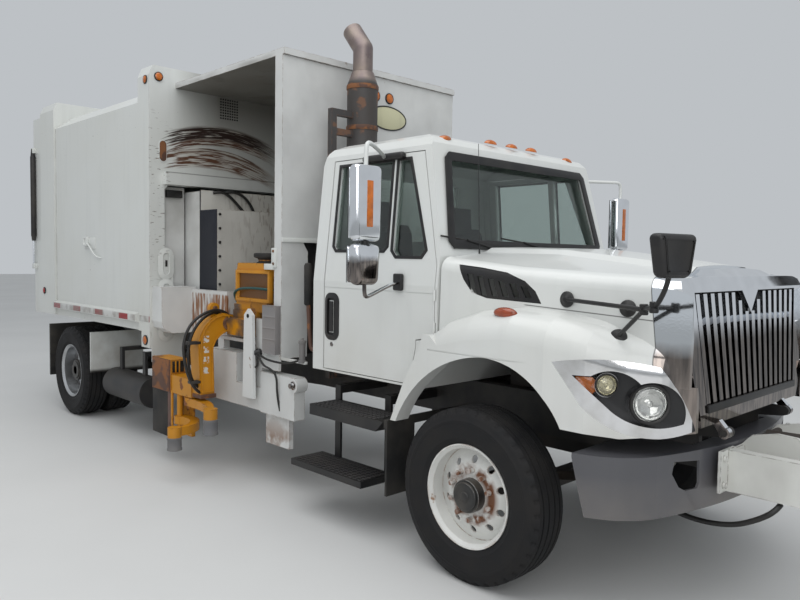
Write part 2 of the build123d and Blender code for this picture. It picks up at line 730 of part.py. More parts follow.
vent_opening = [(ahead(-262), 1831), (ahead(-215), 1740), (ahead(-150), 1665), (ahead(-40), 1636),
                (ahead(325), 1622), (ahead(285), 1690), (ahead(216), 1745), (ahead(90), 1790), (ahead(-90), 1815)]
with BuildPart() as hood:
    add(hood_form(0))
    add(hood_form(hood_wall), mode=Mode.SUBTRACT)
    block(ahead(-700), ahead(950), -850, 850, 800, 1270, mode=Mode.SUBTRACT)
    add(surround_space(), mode=Mode.SUBTRACT)
    for side in (-1, 1):
        side_plate([(ahead(-659), strip_low_z), (ahead(-547), 1089), (ahead(-426), 1300), (ahead(-385), 1402),
                    (ahead(-330), 1402), (ahead(-200), 1290), (ahead(-380), 1140), (ahead(-612), strip_low_z)],
                   side * (cab_half_width + 2 * running_gap), side * fender_half_width)
        side_plate([(ahead(581), 700), (ahead(581), fender_low_z), (ahead(860), fender_low_z - 15),
                    (ahead(1200), fender_low_z + 35), (ahead(1200), 700)],
                   side * 350, side * (fender_half_width + 10), mode=Mode.SUBTRACT)
        side_plate([(ahead(-700), 700), (ahead(-700), strip_low_z - 1), (ahead(620), strip_low_z - 1),
                    (ahead(620), 700)], side * 350, side * (fender_half_width + 10), mode=Mode.SUBTRACT)
        side_plate(vent_opening, side * 850, side * 1010, mode=Mode.SUBTRACT)
        block(ahead(-345), ahead(540), side * (fender_half_width - 5), side * (fender_half_width + 10), 1312, 1319,
              mode=Mode.SUBTRACT)
        low, high = sorted((side * 350, side * (fender_half_width + 10)))
        with BuildSketch(Plane.XZ.offset(-low)) as arch:
            with BuildLine():
                Polyline((ahead(581), fender_low_z), (ahead(581), 700), (ahead(-612), 700),
                         (ahead(-612), strip_low_z - 1))
                ThreePointArc((ahead(-612), strip_low_z - 1), (ahead(-400), 1120), (ahead(24), 1309))
                ThreePointArc((ahead(24), 1309), (ahead(400), 1215), (ahead(581), fender_low_z))
            make_face()
        extrude(arch.sketch, amount=low - high, mode=Mode.SUBTRACT)
    add(pod_prism(bezel_outline(fit_gap), -pod_reach, pod_reach), mode=Mode.SUBTRACT)
    add(mirror(pod_prism(bezel_outline(fit_gap), -pod_reach, pod_reach), about=Plane.XZ, mode=Mode.PRIVATE),
        mode=Mode.SUBTRACT)
save(hood, "hood")

# Side vents of the hood: a panel in each opening, cut through between its blades
vent_blade_count = 6
with BuildPart() as vent_plugs:
    with BuildSketch(Plane.XZ):
        with BuildLine():
            Polyline(*vent_opening, close=True)
        make_face()
        offset(amount=-fit_gap)
    extrude(amount=1010, both=True)
    block(ahead(-400), ahead(400), -850, 850, 1500, 1900, mode=Mode.SUBTRACT)

with BuildPart() as hood_vents:
    add(hood_form(4))
    add(hood_form(14), mode=Mode.SUBTRACT)
    add(vent_plugs.part, mode=Mode.INTERSECT)
    for index in range(vent_blade_count):
        slot_x = ahead(-190 + 75 * index)
        side_plate([(slot_x, 1775 - 12 * index), (slot_x + 40, 1775 - 12 * index), (slot_x + 75, 1650),
                    (slot_x + 35, 1650)], -1010, 1010, mode=Mode.SUBTRACT)
save(hood_vents, "hood_vents")

# Grille surround: a hollow front with a notched opening, a sill and two hinge ears
with BuildPart() as surround_hollow:
    side_plate([(x - 40, z) for x, z in surround_seam] + [(x - hood_wall, z) for x, z in surround_front],
               -900, 900)
    front_plate(surround_outline(hood_wall), ahead(800), ahead(1200), mode=Mode.INTERSECT)

with BuildPart() as grille_surround:
    side_plate([(x + fit_gap, z) for x, z in surround_seam] + surround_front, -900, 900)
    front_plate(surround_outline(0), ahead(900), ahead(1200), mode=Mode.INTERSECT)
    add(surround_hollow.part, mode=Mode.SUBTRACT)
    front_plate([(-opening_half_bottom, opening_bottom_z), (-opening_half_top, opening_top_z),
                 (-notch_half, opening_top_z), (0, notch_z), (notch_half, opening_top_z),
                 (opening_half_top, opening_top_z), (opening_half_bottom, opening_bottom_z)],
                ahead(1040), ahead(1200), mode=Mode.SUBTRACT)
    for side in (-1, 1):
        side_plate([(ahead(1092), 1050), (ahead(1130), 1050), (ahead(1185), 990), (ahead(1170), 958),
                    (ahead(1148), 958), (ahead(1092), 1036)], side * 438, side * 478)
        rod((hood_pivot_x, side * 438, hood_pivot_z), (hood_pivot_x, side * 478, hood_pivot_z), 30)
        rod((hood_pivot_x, side * 437, hood_pivot_z), (hood_pivot_x, side * 479, hood_pivot_z),
            hood_pin_radius + fit_gap, mode=Mode.SUBTRACT)
save(grille_surround, "grille_surround")


# Grille bars: upright blades fanned out in the opening, on two strips behind the surround
def surround_slope(z, depth):
    """A place behind the surround's sloped face, at a height and a depth."""
    return ahead(1135) - 51 * (z - 1100) / 630 - depth


with BuildPart() as grille_bars:
    pitch = 2 * opening_half_bottom / grille_bar_count
    fan = opening_half_top / opening_half_bottom
    for index in range(grille_bar_count):
        foot_y = (index - (grille_bar_count - 1) / 2) * pitch
        head_z = opening_top_z - 9
        if abs(foot_y) < notch_half + 20:
            head_z = notch_z - 25 + abs(foot_y) * 0.8
        head_y = foot_y * (1 + (fan - 1) * (head_z - opening_bottom_z) / (opening_top_z - opening_bottom_z))
        half = pitch * 0.28
        front_plate([(foot_y - half, opening_bottom_z + 8), (foot_y + half, opening_bottom_z + 8),
                     (head_y + half, head_z), (head_y - half, head_z)], ahead(1000), ahead(1150))
    side_plate([(surround_slope(z, depth), z) for z, depth in ((1050, 6), (1760, 6), (1760, 42), (1050, 42))],
               -900, 900, mode=Mode.INTERSECT)
    for low_z, high_z, half in ((1112, 1150, opening_half_bottom + 20), (1540, 1575, opening_half_top + 15)):
        behind = hood_wall + fit_gap
        side_plate([(surround_slope(low_z, behind), low_z), (surround_slope(high_z, behind), high_z),
                    (surround_slope(high_z, behind + 18), high_z), (surround_slope(low_z, behind + 18), low_z)],
                   -half, half)
save(grille_bars, "grille_bars")

# Headlamp pods: a bezel that follows the nose, a sunk housing and two round bowls that face ahead
pod_depth = (-60, 170)
lamp_look = Vector(1, -0.9, 0).normalized()
with BuildPart() as right_bowls:
    for along, height, radius in lamp_bowls:
        centre = nose_start + nose_plane.x_dir * along + Vector(0, 0, height)
        rod(tuple(centre - lamp_look * 55), tuple(centre + lamp_look * 34), radius)
        rod(tuple(centre + lamp_look * 8), tuple(centre + lamp_look * 60), radius - 10, mode=Mode.SUBTRACT)
    add(pod_prism(bezel_outline(-2), *pod_depth), mode=Mode.INTERSECT)

with BuildPart() as headlamps:
    add(hood_form(0))
    add(pod_prism(bezel_outline(0), *pod_depth), mode=Mode.INTERSECT)
    add(pod_prism(lens_outline(), -12, 200), mode=Mode.SUBTRACT)
    add(right_bowls.part)
    mirror(about=Plane.XZ)
save(headlamps, "headlamps")

# Hood mirrors, each on a tripod of rods that ends at the hood's skin
with BuildPart() as hood_mirrors:
    for side in (-1, 1):
        joint, elbow = (ahead(1010), side * 1090, 1640), (ahead(1110), side * 1190, 1660)
        for foot in ((ahead(480), side * 880, 1655), (ahead(820), side * 860, 1626), (ahead(800), side * 940, 1480)):
            rod(foot, joint, 11)
        rod(joint, elbow, 12)
        rod(elbow, (ahead(1225), side * 1275, 1830), 14)
        for x, y, z in (joint, elbow):
            rod((x, y, z - 26), (x, y, z + 26), 21)
        with Locations(Location((ahead(1235), side * 1290, 1893), (0, 0, side * 12))):
            Box(74, 250, 180)
            Box(40, 262, 192)
    add(hood_form(-fit_gap), mode=Mode.SUBTRACT)
save(hood_mirrors, "hood_mirrors")

# Door mirrors: a tall flat head with a smaller one below, on an upper and a lower arm held by the door
mirror_x = ahead(-560)
mirror_y = 1460
for name, side in (("door_mirror_right", -1), ("door_mirror_left", 1)):
    with BuildPart() as door_mirror:
        head_y = side * mirror_y
        block(mirror_x - 40, mirror_x + 40, head_y - 105, head_y + 105, 1960, 2400)
        block(mirror_x - 50, mirror_x + 40, head_y - 105, head_y + 105, 1700, 1945)
        rod((mirror_x, head_y, 1630), (mirror_x, head_y, 2530), 12)
        rod((mirror_x, head_y, 2530), (ahead(-960), side * 960, 2530), 14)
        rod((mirror_x, head_y, 1640), (ahead(-735), side * 1030, 1700), 14)
        block(ahead(-1180), ahead(-780), side * 880, side * 960, 2520, 2546)
        block(ahead(-775), ahead(-695), side * 960, side * 1040, 1651, 1762)
        for end in ((mirror_x, head_y, 2530), (mirror_x, head_y, 1640)):
            with Locations(end):
                Sphere(16)
        add(cab_form(-fit_gap), mode=Mode.SUBTRACT)
    save(door_mirror, name)

# Cab steps: two treads on hangers from the rail, on each side
with BuildPart() as cab_steps:
    for side in (-1, 1):
        side_plate([(ahead(-726), 809), (ahead(-797), 734), (ahead(-1500), 734), (ahead(-1500), 809)],
                   side * 876, side * 1140)
        block(ahead(-1680), ahead(-900), side * 876, side * 1170, 335, 380)
        for x in (-1480, -940):
            side_plate([(ahead(x - 30), 340), (ahead(x + 30), 340), (ahead(x + 30), 920), (ahead(x - 30), 920)],
                       side * 875, side * 895)
            block(ahead(x - 30), ahead(x + 30), side * (frame_half_width + fit_gap), side * 890, 860, 920)
save(cab_steps, "cab_steps")

# Mudflaps behind the front wheels
with BuildPart() as front_mudflaps:
    for side in (-1, 1):
        block(ahead(-701), ahead(-685), side * 890, side * 1140, 330, 825)
        block(ahead(-718), ahead(-700), side * (frame_half_width + fit_gap), side * 1140, 770, 825)
save(front_mudflaps, "front_mudflaps")

# Fuel tank on the left, in two straps from the rail
with BuildPart() as fuel_tank:
    rod((ahead(-2750), 700, 720), (ahead(-1800), 700, 720), 265)
    for strap_x in (-2600, -1950):
        block(ahead(strap_x - 30), ahead(strap_x + 30), frame_half_width + fit_gap, 520, 790, 960)
        rod((ahead(strap_x - 30), 700, 720), (ahead(strap_x + 30), 700, 720), 271)
save(fuel_tank, "fuel_tank")

# Air tank on the right, under two arms from the rail
with BuildPart() as air_tank:
    rod((ahead(-5150), -1000, 470), (ahead(-4250), -1000, 470), 155)
    for arm_x in (-5000, -4450):
        block(ahead(arm_x - 30), ahead(arm_x + 30), -1015, -frame_half_width - fit_gap, 820, 860)
        block(ahead(arm_x - 30), ahead(arm_x + 30), -1015, -985, 600, 821)
save(air_tank, "air_tank")

# Exhaust: an upright pipe with a muffler and a swept-back tip, held by a post on the rail
stack_x, stack_y = ahead(-1860), -362
post_y = -670
with BuildPart() as exhaust_stack:
    rod((stack_x, stack_y, 1045), (stack_x, stack_y, 2300), 65)
    rod((stack_x, stack_y, 2260), (stack_x, stack_y, 3250), 124)
    with BuildSketch(Plane.XY.offset(3249)) as shoulder_low:
        with Locations((stack_x, stack_y)):
            Circle(124)
    with BuildSketch(Plane.XY.offset(3350)) as shoulder_high:
        with Locations((stack_x, stack_y)):
            Circle(88)
    loft([shoulder_low.sketch, shoulder_high.sketch])
    rod((stack_x, stack_y, 3349), (stack_x, stack_y, 3540), 80)
    with Locations((stack_x, stack_y, 3540)):
        Sphere(80)
    rod((stack_x, stack_y, 3540), (stack_x - 135, stack_y, 3705), 80)
    rod((stack_x - 100, stack_y, 3662), (stack_x - 140, stack_y, 3711), 74, mode=Mode.SUBTRACT)
    block(stack_x - 25, stack_x + 25, post_y - 25, post_y + 25, 900, 3020)
    for low_z, high_z in ((1060, 1120), (2300, 2360), (2820, 2870), (2970, 3020)):
        block(stack_x - 25, stack_x + 25, post_y, stack_y - 50, low_z, high_z)
    block(stack_x - 30, stack_x + 30, post_y, -frame_half_width - fit_gap, 900, 960)
save(exhaust_stack, "exhaust_stack")


# Wheels
def wheel_plane(centre_x, centre_y):
    """The upright plane through a wheel's middle and its axle, with x along the axle."""
    return Plane(origin=(centre_x, centre_y, tyre_radius), x_dir=(0, 1, 0), z_dir=(1, 0, 0))


def tyre(centre_x, centre_y):
    """One tyre, spun about its axle."""
    half = tyre_width / 2
    shoulder = half - 16
    with BuildSketch(wheel_plane(centre_x, centre_y)) as section:
        with BuildLine():
            Line((-bead_half_width, bead_radius), (bead_half_width, bead_radius))
            Line((bead_half_width, bead_radius), (bead_half_width, flange_radius + 4))
            ThreePointArc((bead_half_width, flange_radius + 4), (half, 400), (shoulder, shoulder_radius))
            Line((shoulder, shoulder_radius), (tread_half_width, tyre_radius - 4))
            ThreePointArc((tread_half_width, tyre_radius - 4), (0, tyre_radius), (-tread_half_width, tyre_radius - 4))
            Line((-tread_half_width, tyre_radius - 4), (-shoulder, shoulder_radius))
            ThreePointArc((-shoulder, shoulder_radius), (-half, 400), (-bead_half_width, flange_radius + 4))
            Line((-bead_half_width, flange_radius + 4), (-bead_half_width, bead_radius))
        make_face()
    revolve(section.sketch, axis=Axis((centre_x, centre_y, tyre_radius), (0, 1, 0)))


def rim(centre_x, centre_y, out, disc_offset, dish, with_studs=True):
    """One wheel rim with its disc, spun about its axle; out is +1 or -1, away from the truck, and
    dish is how far the disc's foot on the rim lies from its face, plus outward."""
    edge = bead_half_width + fit_gap
    seat = bead_radius - fit_gap
    lip = flange_radius - 8
    axle = Axis((centre_x, centre_y, tyre_radius), (0, 1, 0))
    with BuildPart() as form:
        with BuildSketch(wheel_plane(centre_x, centre_y)):
            with BuildLine():
                Polyline((-edge - flange_width, flange_radius), (-edge, flange_radius), (-edge, seat),
                         (edge, seat), (edge, flange_radius), (edge + flange_width, flange_radius),
                         (edge + flange_width, lip), (edge - 10, seat - rim_wall),
                         (10 - edge, seat - rim_wall), (-edge - flange_width, lip), close=True)
            make_face()
        revolve(axis=axle)
        disc = out * disc_offset
        with BuildSketch(wheel_plane(centre_x, centre_y)):
            with BuildLine():
                foot = out * dish
                thick = 12 if foot > 0 else -12
                Polyline((disc, hub_radius - 10), (disc, 175), (disc + 0.7 * foot, 235),
                         (disc + foot, seat - 8), (disc + foot + thick, seat - 8),
                         (disc + 0.7 * foot + thick, 233), (disc + thick, 172), (disc + thick, hub_radius - 10),
                         close=True)
            make_face()
        revolve(axis=axle)
        disc_plane = Plane(origin=(centre_x, centre_y + disc - out * 110, tyre_radius), z_dir=(0, out, 0))
        with BuildSketch(disc_plane):
            with PolarLocations(hand_hole_circle, stud_count):
                Circle(hand_hole_radius)
        extrude(amount=220, mode=Mode.SUBTRACT)
        if with_studs:
            stud_plane = Plane(origin=(centre_x, centre_y + disc - out * 5, tyre_radius), z_dir=(0, out, 0))
            with BuildSketch(stud_plane):
                with PolarLocations(stud_circle, stud_count):
                    Circle(stud_radius)
            extrude(amount=stud_length)
    return form.part


def hub(centre_x, centre_y, out, from_offset, to_offset, radius):
    """A hub barrel around the spindle, between two offsets from the wheel's middle."""
    start = (centre_x, centre_y + out * from_offset, tyre_radius)
    end = (centre_x, centre_y + out * to_offset, tyre_radius)
    rod(start, end, radius)
    rod(start, end, spindle_radius + 1, mode=Mode.SUBTRACT)


for name, side in (("right", -1), ("left", 1)):
    with BuildPart() as front_tyre:
        tyre(front_axle_x, side * front_wheel_y)
    save(front_tyre, f"front_tyre_{name}")
    with BuildPart() as front_rim:
        add(rim(front_axle_x, side * front_wheel_y, side, 60, -50))
        hub(front_axle_x, side * front_wheel_y, side, -60, 115, hub_radius)
        rod((front_axle_x, side * (front_wheel_y + 114), tyre_radius),
            (front_axle_x, side * (front_wheel_y + 128), tyre_radius), hub_radius - 15)
    save(front_rim, f"front_rim_{name}")
    with BuildPart() as rear_tyres:
        tyre(rear_axle_x, side * rear_outer_y)
        tyre(rear_axle_x, side * (rear_outer_y - dual_spacing))
    save(rear_tyres, f"rear_tyres_{name}")
    with BuildPart() as rear_rims:
        add(rim(rear_axle_x, side * rear_outer_y, side, -dual_spacing / 2 + 18, 85))
        add(rim(rear_axle_x, side * (rear_outer_y - dual_spacing), side, dual_spacing / 2 + 6, -85, with_studs=False))
        hub(rear_axle_x, side * rear_outer_y, side, -dual_spacing - 60, 60, hub_radius + 20)
        rod((rear_axle_x, side * (rear_outer_y + 59), tyre_radius),
            (rear_axle_x, side * (rear_outer_y + 72), tyre_radius), hub_radius)
    save(rear_rims, f"rear_rims_{name}")

# Steering knuckles: a fork around the axle's boss, with the kingpin, the spindle and the steering arm
fork_low = tyre_radius - boss_height / 2 - 2
fork_high = tyre_radius + boss_height / 2 + 2
arm_low = fork_low - fork_thick
arm_end_y = kingpin_y - 45
arm_end_x = front_axle_x - steer_arm_length
for name, side in (("right", -1), ("left", 1)):
    with BuildPart() as knuckle:
        kingpin = side * kingpin_y
        rod((front_axle_x, kingpin, arm_low), (front_axle_x, kingpin, fork_high + fork_thick), kingpin_radius)
        for z0, z1 in ((arm_low, fork_low), (fork_high, fork_high + fork_thick)):
            rod((front_axle_x, kingpin, z0), (front_axle_x, kingpin, z1), boss_radius)
            block(front_axle_x - 40, front_axle_x + 40, kingpin, kingpin + side * 75, z0, z1)
        block(front_axle_x - 40, front_axle_x + 40, kingpin + side * (boss_radius + 6), kingpin + side * 75,
              arm_low, fork_high + fork_thick)
        rod((front_axle_x, kingpin + side * 70, tyre_radius),
            (front_axle_x, side * (front_wheel_y + 100), tyre_radius), spindle_radius)
        with BuildSketch(Plane.XY.offset(arm_low)):
            with BuildLine():
                Polyline((front_axle_x, kingpin - 28), (front_axle_x, kingpin + 28),
                         (arm_end_x, side * arm_end_y + 28), (arm_end_x, side * arm_end_y - 28), close=True)
            make_face()
            with Locations((arm_end_x, side * arm_end_y)):
                Circle(32)
        extrude(amount=steer_arm_thick)
    save(knuckle, f"knuckle_{name}")

# Tie rod under the two steering arms, with a stud up to each
with BuildPart() as tie_rod:
    rod_z = arm_low - tie_rod_radius - 10
    rod((arm_end_x, -arm_end_y, rod_z), (arm_end_x, arm_end_y, rod_z), tie_rod_radius)
    for side in (-1, 1):
        rod((arm_end_x, side * (arm_end_y - 16), rod_z), (arm_end_x, side * (arm_end_y - 16), arm_low - fit_gap), 15)
save(tie_rod, "tie_rod")

# Refuse body: a hollow box with sloped roof edges, posts, side ledges and a floor on two sills
body_section = mirrored([(-body_half_width, body_bottom_z), (-body_half_width, body_eave_z),
                         (-body_roof_half, body_roof_z)])
body_hollow = mirrored([(-body_half_width + body_wall, body_bottom_z + body_wall),
                        (-body_half_width + body_wall, body_eave_z - 15), (-body_roof_half + 10, body_roof_z - body_wall)])
with BuildPart() as body_shell:
    front_plate(body_section, body_back_x, body_front_x)
    for x0, x1 in ((body_post_x, body_front_x), (body_back_x, body_rear_post_x)):
        front_plate(mirrored([(-post_half_width, body_bottom_z), (-post_half_width, post_top_z - 90),
                              (-post_half_width + 40, post_top_z)]), x0, x1)
    front_plate(body_hollow, body_back_x - 10, body_front_x - body_wall, mode=Mode.SUBTRACT)
    front_plate(mirrored([(-1008, body_bottom_z + body_wall), (-1008, 1760), (-1093, 1850), (-1093, shelf_z - 40),
                          (-1053, shelf_z)]), body_front_x - body_wall - 10, body_front_x + 10, mode=Mode.SUBTRACT)
    for side in (-1, 1):
        front_plate([(side * (body_half_width - 1), 1300), (side * ledge_half_width, 1285),
                     (side * ledge_half_width, 1215), (side * (body_half_width - 1), 1200)],
                    body_rear_post_x + 1, body_post_x - 1)
        side_plate([(ahead(-4010), body_bottom_z + 1), (ahead(-4010), 980), (ahead(-3838), 980),
                    (ahead(-3838), body_bottom_z + 1)], side * 1170, side * post_half_width)
        block(body_front_x - 12, body_front_x, side * 890, side * body_half_width, 850, body_bottom_z + 1)
        block(tip_pivot_x, body_front_x, side * sill_inner_y, side * sill_outer_y, frame_top_z + fit_gap,
              body_bottom_z + 1)
        rod((tip_pivot_x, side * sill_inner_y, tip_pivot_z), (tip_pivot_x, side * sill_outer_y, tip_pivot_z),
            tip_ear_radius)
        rod((tip_pivot_x, side * (sill_inner_y - 1), tip_pivot_z), (tip_pivot_x, side * (sill_outer_y + 1), tip_pivot_z),
            tip_pin_radius + fit_gap, mode=Mode.SUBTRACT)
        for near, far in ((500, 530), (600, 630)):
            block(tailgate_pivot_x - 30, body_back_x + 1, side * near, side * far, tailgate_pivot_z - 40,
                  tailgate_pivot_z + 40)
        rod((tailgate_pivot_x, side * 505, tailgate_pivot_z), (tailgate_pivot_x, side * 625, tailgate_pivot_z), 20)
    block(body_front_x - 2, body_front_x + 75, -1110, 100, shelf_z + 4, shelf_z + 120)
save(body_shell, "body_shell")

# Hopper: the pit, the left wall, the front bulkhead with its leg, the canopy, the boom's guide and the arm's frame
hopper_back_x = body_front_x + fit_gap
bulkhead_back_x = hopper_front_x - bulkhead_thick
guide_back_x, guide_front_x = boom_rear_x - fit_gap, boom_front_x + fit_gap
guide_low_z, guide_high_z = boom_bottom_z - fit_gap, boom_top_z + fit_gap
with BuildPart() as hopper:
    block(hopper_back_x, pit_front_x, -pit_half_width, pit_half_width, body_bottom_z, body_bottom_z + body_wall)
    block(hopper_back_x, pit_front_x, -pit_half_width - hopper_wall, -pit_half_width, body_bottom_z, pit_top_z)
    block(pit_front_x - hopper_wall, pit_front_x, -pit_half_width - hopper_wall, hopper_half_width - 1,
          body_bottom_z, pit_top_z)
    block(hopper_back_x, hopper_front_x, hopper_half_width - hopper_wall, hopper_half_width, body_bottom_z, canopy_z)
    front_plate([(-pit_half_width + 1, 1130), (-1120, 1130), (-1200, 1180), (-body_half_width, 1240),
                 (-body_half_width, pit_top_z + 20), (-pit_half_width + 1, pit_top_z + 20)], hopper_back_x, ahead(-3630))
    block(bulkhead_back_x, hopper_front_x, -hopper_half_width, hopper_half_width, bulkhead_low_z, canopy_z + 1)
    front_plate([(-hopper_half_width, 1050), (-hopper_half_width, bulkhead_low_z + 1), (-leg_inner_y - 65,
                 bulkhead_low_z + 1), (-leg_inner_y, bulkhead_low_z - 100), (-leg_inner_y, 1050)],
                bulkhead_back_x, hopper_front_x)
    block(bulkhead_back_x, hopper_front_x, leg_inner_y, hopper_half_width, 1050, bulkhead_low_z + 1)
    block(hopper_back_x, hopper_front_x + 20, -hopper_half_width, hopper_half_width, canopy_z, canopy_z + 50)
    block(pit_front_x - 1, bulkhead_back_x + 1, -hopper_half_width + 5, hopper_half_width - 1, body_bottom_z,
          body_bottom_z + 30)
    for side in (-1, 1):
        block(hopper_back_x, hopper_front_x, side * sill_inner_y, side * sill_outer_y, frame_top_z + fit_gap,
              body_bottom_z + 1)
        block(guide_back_x - guide_wall, guide_front_x + guide_wall, side * sill_inner_y, side * sill_outer_y,
              body_bottom_z + 29, guide_low_z - 1)
    block(guide_back_x - guide_wall, guide_front_x + guide_wall, -guide_half_length, guide_half_length,
          guide_low_z - guide_wall, guide_high_z + guide_wall)
    block(guide_back_x, guide_front_x, -guide_half_length - 1, guide_half_length + 1, guide_low_z, guide_high_z,
          mode=Mode.SUBTRACT)
    block(ahead(-2430), ahead(-2100), -990, -970, 950, 1350)
    block(ahead(-2430), ahead(-2340), -990, -900, 600, 1131)
    block(ahead(-2345), ahead(-1880), -1000, -900, 590, 925)
    rod((ahead(-1900), -1000, 866), (ahead(-1900), -900, 866), 59)
    rod((ahead(-1900), -1001, 866), (ahead(-1900), -899, 866), 33, mode=Mode.SUBTRACT)
    block(ahead(-3160), ahead(-2340), -1000, -900, 600, 790)
    block(ahead(-3150), ahead(-2710), -1000, -860, 789, 1040)
    block(ahead(-3150), ahead(-3050), -920, -860, 1039, 1131)
    block(ahead(-2320), ahead(-2000), -960, -920, 340, 591)
save(hopper, "hopper")

# Packer: a hollow blade in the pit on two long shoes, with a taller plate at its back
packer_floor_z = body_bottom_z + body_wall + 25
with BuildPart() as packer:
    block(ahead(-3600), ahead(-3300), -845, 845, packer_floor_z, 2280)
    block(ahead(-3570), ahead(-3330), -815, 815, packer_floor_z - 1, 2250, mode=Mode.SUBTRACT)
    block(ahead(-3620), ahead(-3599), -845, 845, packer_floor_z, 2470)
    for side in (-1, 1):
        block(ahead(-3620), ahead(-3300), side * 500, side * 560, body_bottom_z + body_wall + fit_gap,
              packer_floor_z + 30)
save(packer, "packer")

# Tailgate: a hollow door, hung from the body's hinge pins by two ears
with BuildPart() as tailgate:
    block(tailgate_back_x, body_back_x - running_gap, -body_half_width, body_half_width, body_bottom_z - 10,
          tailgate_top_z)
    block(tailgate_back_x + 50, body_back_x, -body_half_width + 60, body_half_width - 60, body_bottom_z + 60,
          tailgate_top_z - 80, mode=Mode.SUBTRACT)
    for z in (1500, 2100, 2700):
        block(ahead(-rear_reach), tailgate_back_x + 5, -body_half_width + 40, body_half_width - 40, z - 50, z + 50)
    for side in (-1, 1):
        block(tailgate_pivot_x - 30, tailgate_pivot_x + 30, side * 540, side * 590, tailgate_top_z - 1,
              tailgate_pivot_z)
        rod((tailgate_pivot_x, side * 540, tailgate_pivot_z), (tailgate_pivot_x, side * 590, tailgate_pivot_z), 38)
        rod((tailgate_pivot_x, side * 539, tailgate_pivot_z), (tailgate_pivot_x, side * 591, tailgate_pivot_z),
            20 + fit_gap, mode=Mode.SUBTRACT)
save(tailgate, "tailgate")

# Mudguards before and behind the rear wheels, on arms from the rails
with BuildPart() as rear_mudguards:
    for side in (-1, 1):
        for x0, x1, low in ((-5350, -5320, 560), (-6600, -6570, 380)):
            block(ahead(x0), ahead(x1), side * 620, side * 1210, low, 1000)
            block(ahead(x0), ahead(x1), side * (frame_half_width + fit_gap), side * 1210, 940, 1000)
save(rear_mudguards, "rear_mudguards")

# Boom: a box beam that slides out to the right in its guide, with a tower and an end plate on its outer end
boom_wall = 20
with BuildPart() as boom:
    block(boom_rear_x, boom_front_x, boom_right_y, boom_left_y, boom_bottom_z, boom_top_z)
    block(boom_rear_x + boom_wall, boom_front_x - boom_wall, boom_right_y + 60, boom_left_y + 1,
          boom_bottom_z + boom_wall, boom_top_z - boom_wall, mode=Mode.SUBTRACT)
    block(ahead(-2815), ahead(-2280), -960, -860, boom_top_z - 5, 1450)
    side_plate([(ahead(-2780), 1449), (ahead(-2320), 1449), (ahead(-2320), 1690), (ahead(-2380), 1800),
                (ahead(-2760), 1800), (ahead(-2780), 1720)], -960, -760)
    rod((ahead(-2450), -860, 1795), (ahead(-2450), -860, 1885), 80)
    rod((arm_rear_x - 20, arm_pivot_y, arm_pivot_z), (boom_rear_x + 60, arm_pivot_y, arm_pivot_z), arm_pin_radius)
    block(boom_rear_x, boom_front_x, arm_pivot_y - 35, arm_pivot_y + 30, boom_bottom_z, 1330)
    side_plate([(ahead(-2520), 700), (ahead(-2360), 700), (ahead(-2380), 1380), (ahead(-2444), 1430),
                (ahead(-2500), 1380)], -1060, -1034)
save(boom, "boom")

# Lift arm: a curved box beam hung on the boom's pin
with BuildPart() as lift_arm:
    with BuildSketch(Plane.YZ.offset(arm_rear_x)):
        with BuildLine():
            Line((arm_pivot_y + 70, 1210), (arm_pivot_y + 70, 1345))
            Line((arm_pivot_y + 70, 1345), (arm_pivot_y - 60, 1370))
            ThreePointArc((arm_pivot_y - 60, 1370), (-1225, 1270), (-1290, 1050))
            Line((-1290, 1050), (-1270, 690))
            Line((-1270, 690), (-1140, 690))
            Line((-1140, 690), (-1150, 1040))
            ThreePointArc((-1150, 1040), (-1120, 1150), (arm_pivot_y + 70, 1210))
        make_face()
        with Locations((arm_pivot_y, arm_pivot_z)):
            Circle(arm_pin_radius + fit_gap, mode=Mode.SUBTRACT)
    extrude(amount=arm_front_x - arm_rear_x)
save(lift_arm, "lift_arm")

# Gripper head: the beam behind the lift arm, a hollow box, the pad column and the two finger pins
finger_pins = {"upper": (ahead(-3060), finger_pin_y, 600), "lower": (ahead(-3240), finger_pin_y, 410)}
with BuildPart() as gripper_head:
    block(ahead(-3331), arm_rear_x - fit_gap, -1280, -1130, 640, 800)
    block(ahead(-3680), ahead(-3330), -1290, -1120, 640, 930)
    block(ahead(-3655), ahead(-3355), -1291, -1145, 665, 905, mode=Mode.SUBTRACT)
    block(ahead(-3420), ahead(-3180), -1165, -1130, 250, 645)
    for x, y, z in finger_pins.values():
        rod((x, y, z - 60), (x, y, 645), finger_pin_radius)
        block(x - 40, x + 40, -1165, y, z - 60, z - 42)
save(gripper_head, "gripper_head")

# Fingers: each a curved blade on its pin, with a hanging roller at the tip
finger_shapes = {"upper": ((560, -120), (300, -10), (430, 640)), "lower": ((400, -255), (330, -40), (260, 450))}
for name, (reach, bend, roller) in finger_shapes.items():
    x, y, z = finger_pins[name]
    tip_x, tip_y = x + reach[0], y + reach[1]
    with BuildPart() as finger:
        with BuildSketch(Plane.XY.offset(z - finger_height / 2)):
            with BuildLine():
                ThreePointArc((x, y + 45), (x + bend[0], y + bend[1] + 40), (tip_x + 25, tip_y))
                Line((tip_x + 25, tip_y), (tip_x - 25, tip_y))
                ThreePointArc((tip_x - 25, tip_y), (x + bend[0] - 20, y + bend[1] - 40), (x, y - 45))
                Line((x, y - 45), (x, y + 45))
            make_face()
            with Locations((x, y)):
                Circle(48)
                Circle(finger_pin_radius + fit_gap, mode=Mode.SUBTRACT)
        extrude(amount=finger_height)
        rod((tip_x, tip_y, roller[0]), (tip_x, tip_y, roller[1]), 55)
    save(finger, f"finger_{name}")
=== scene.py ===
# %% [markdown]
# # A side-loading garbage truck
# The solids of the truck come from the CAD frame at full size, in metres, with the truck's
# nose towards +X and the wheels on z = 0. This file gives them their finishes and adds the
# small pieces that make a working truck look real. It could all be one long script, but
# cells let each step be read, changed and run again on its own.

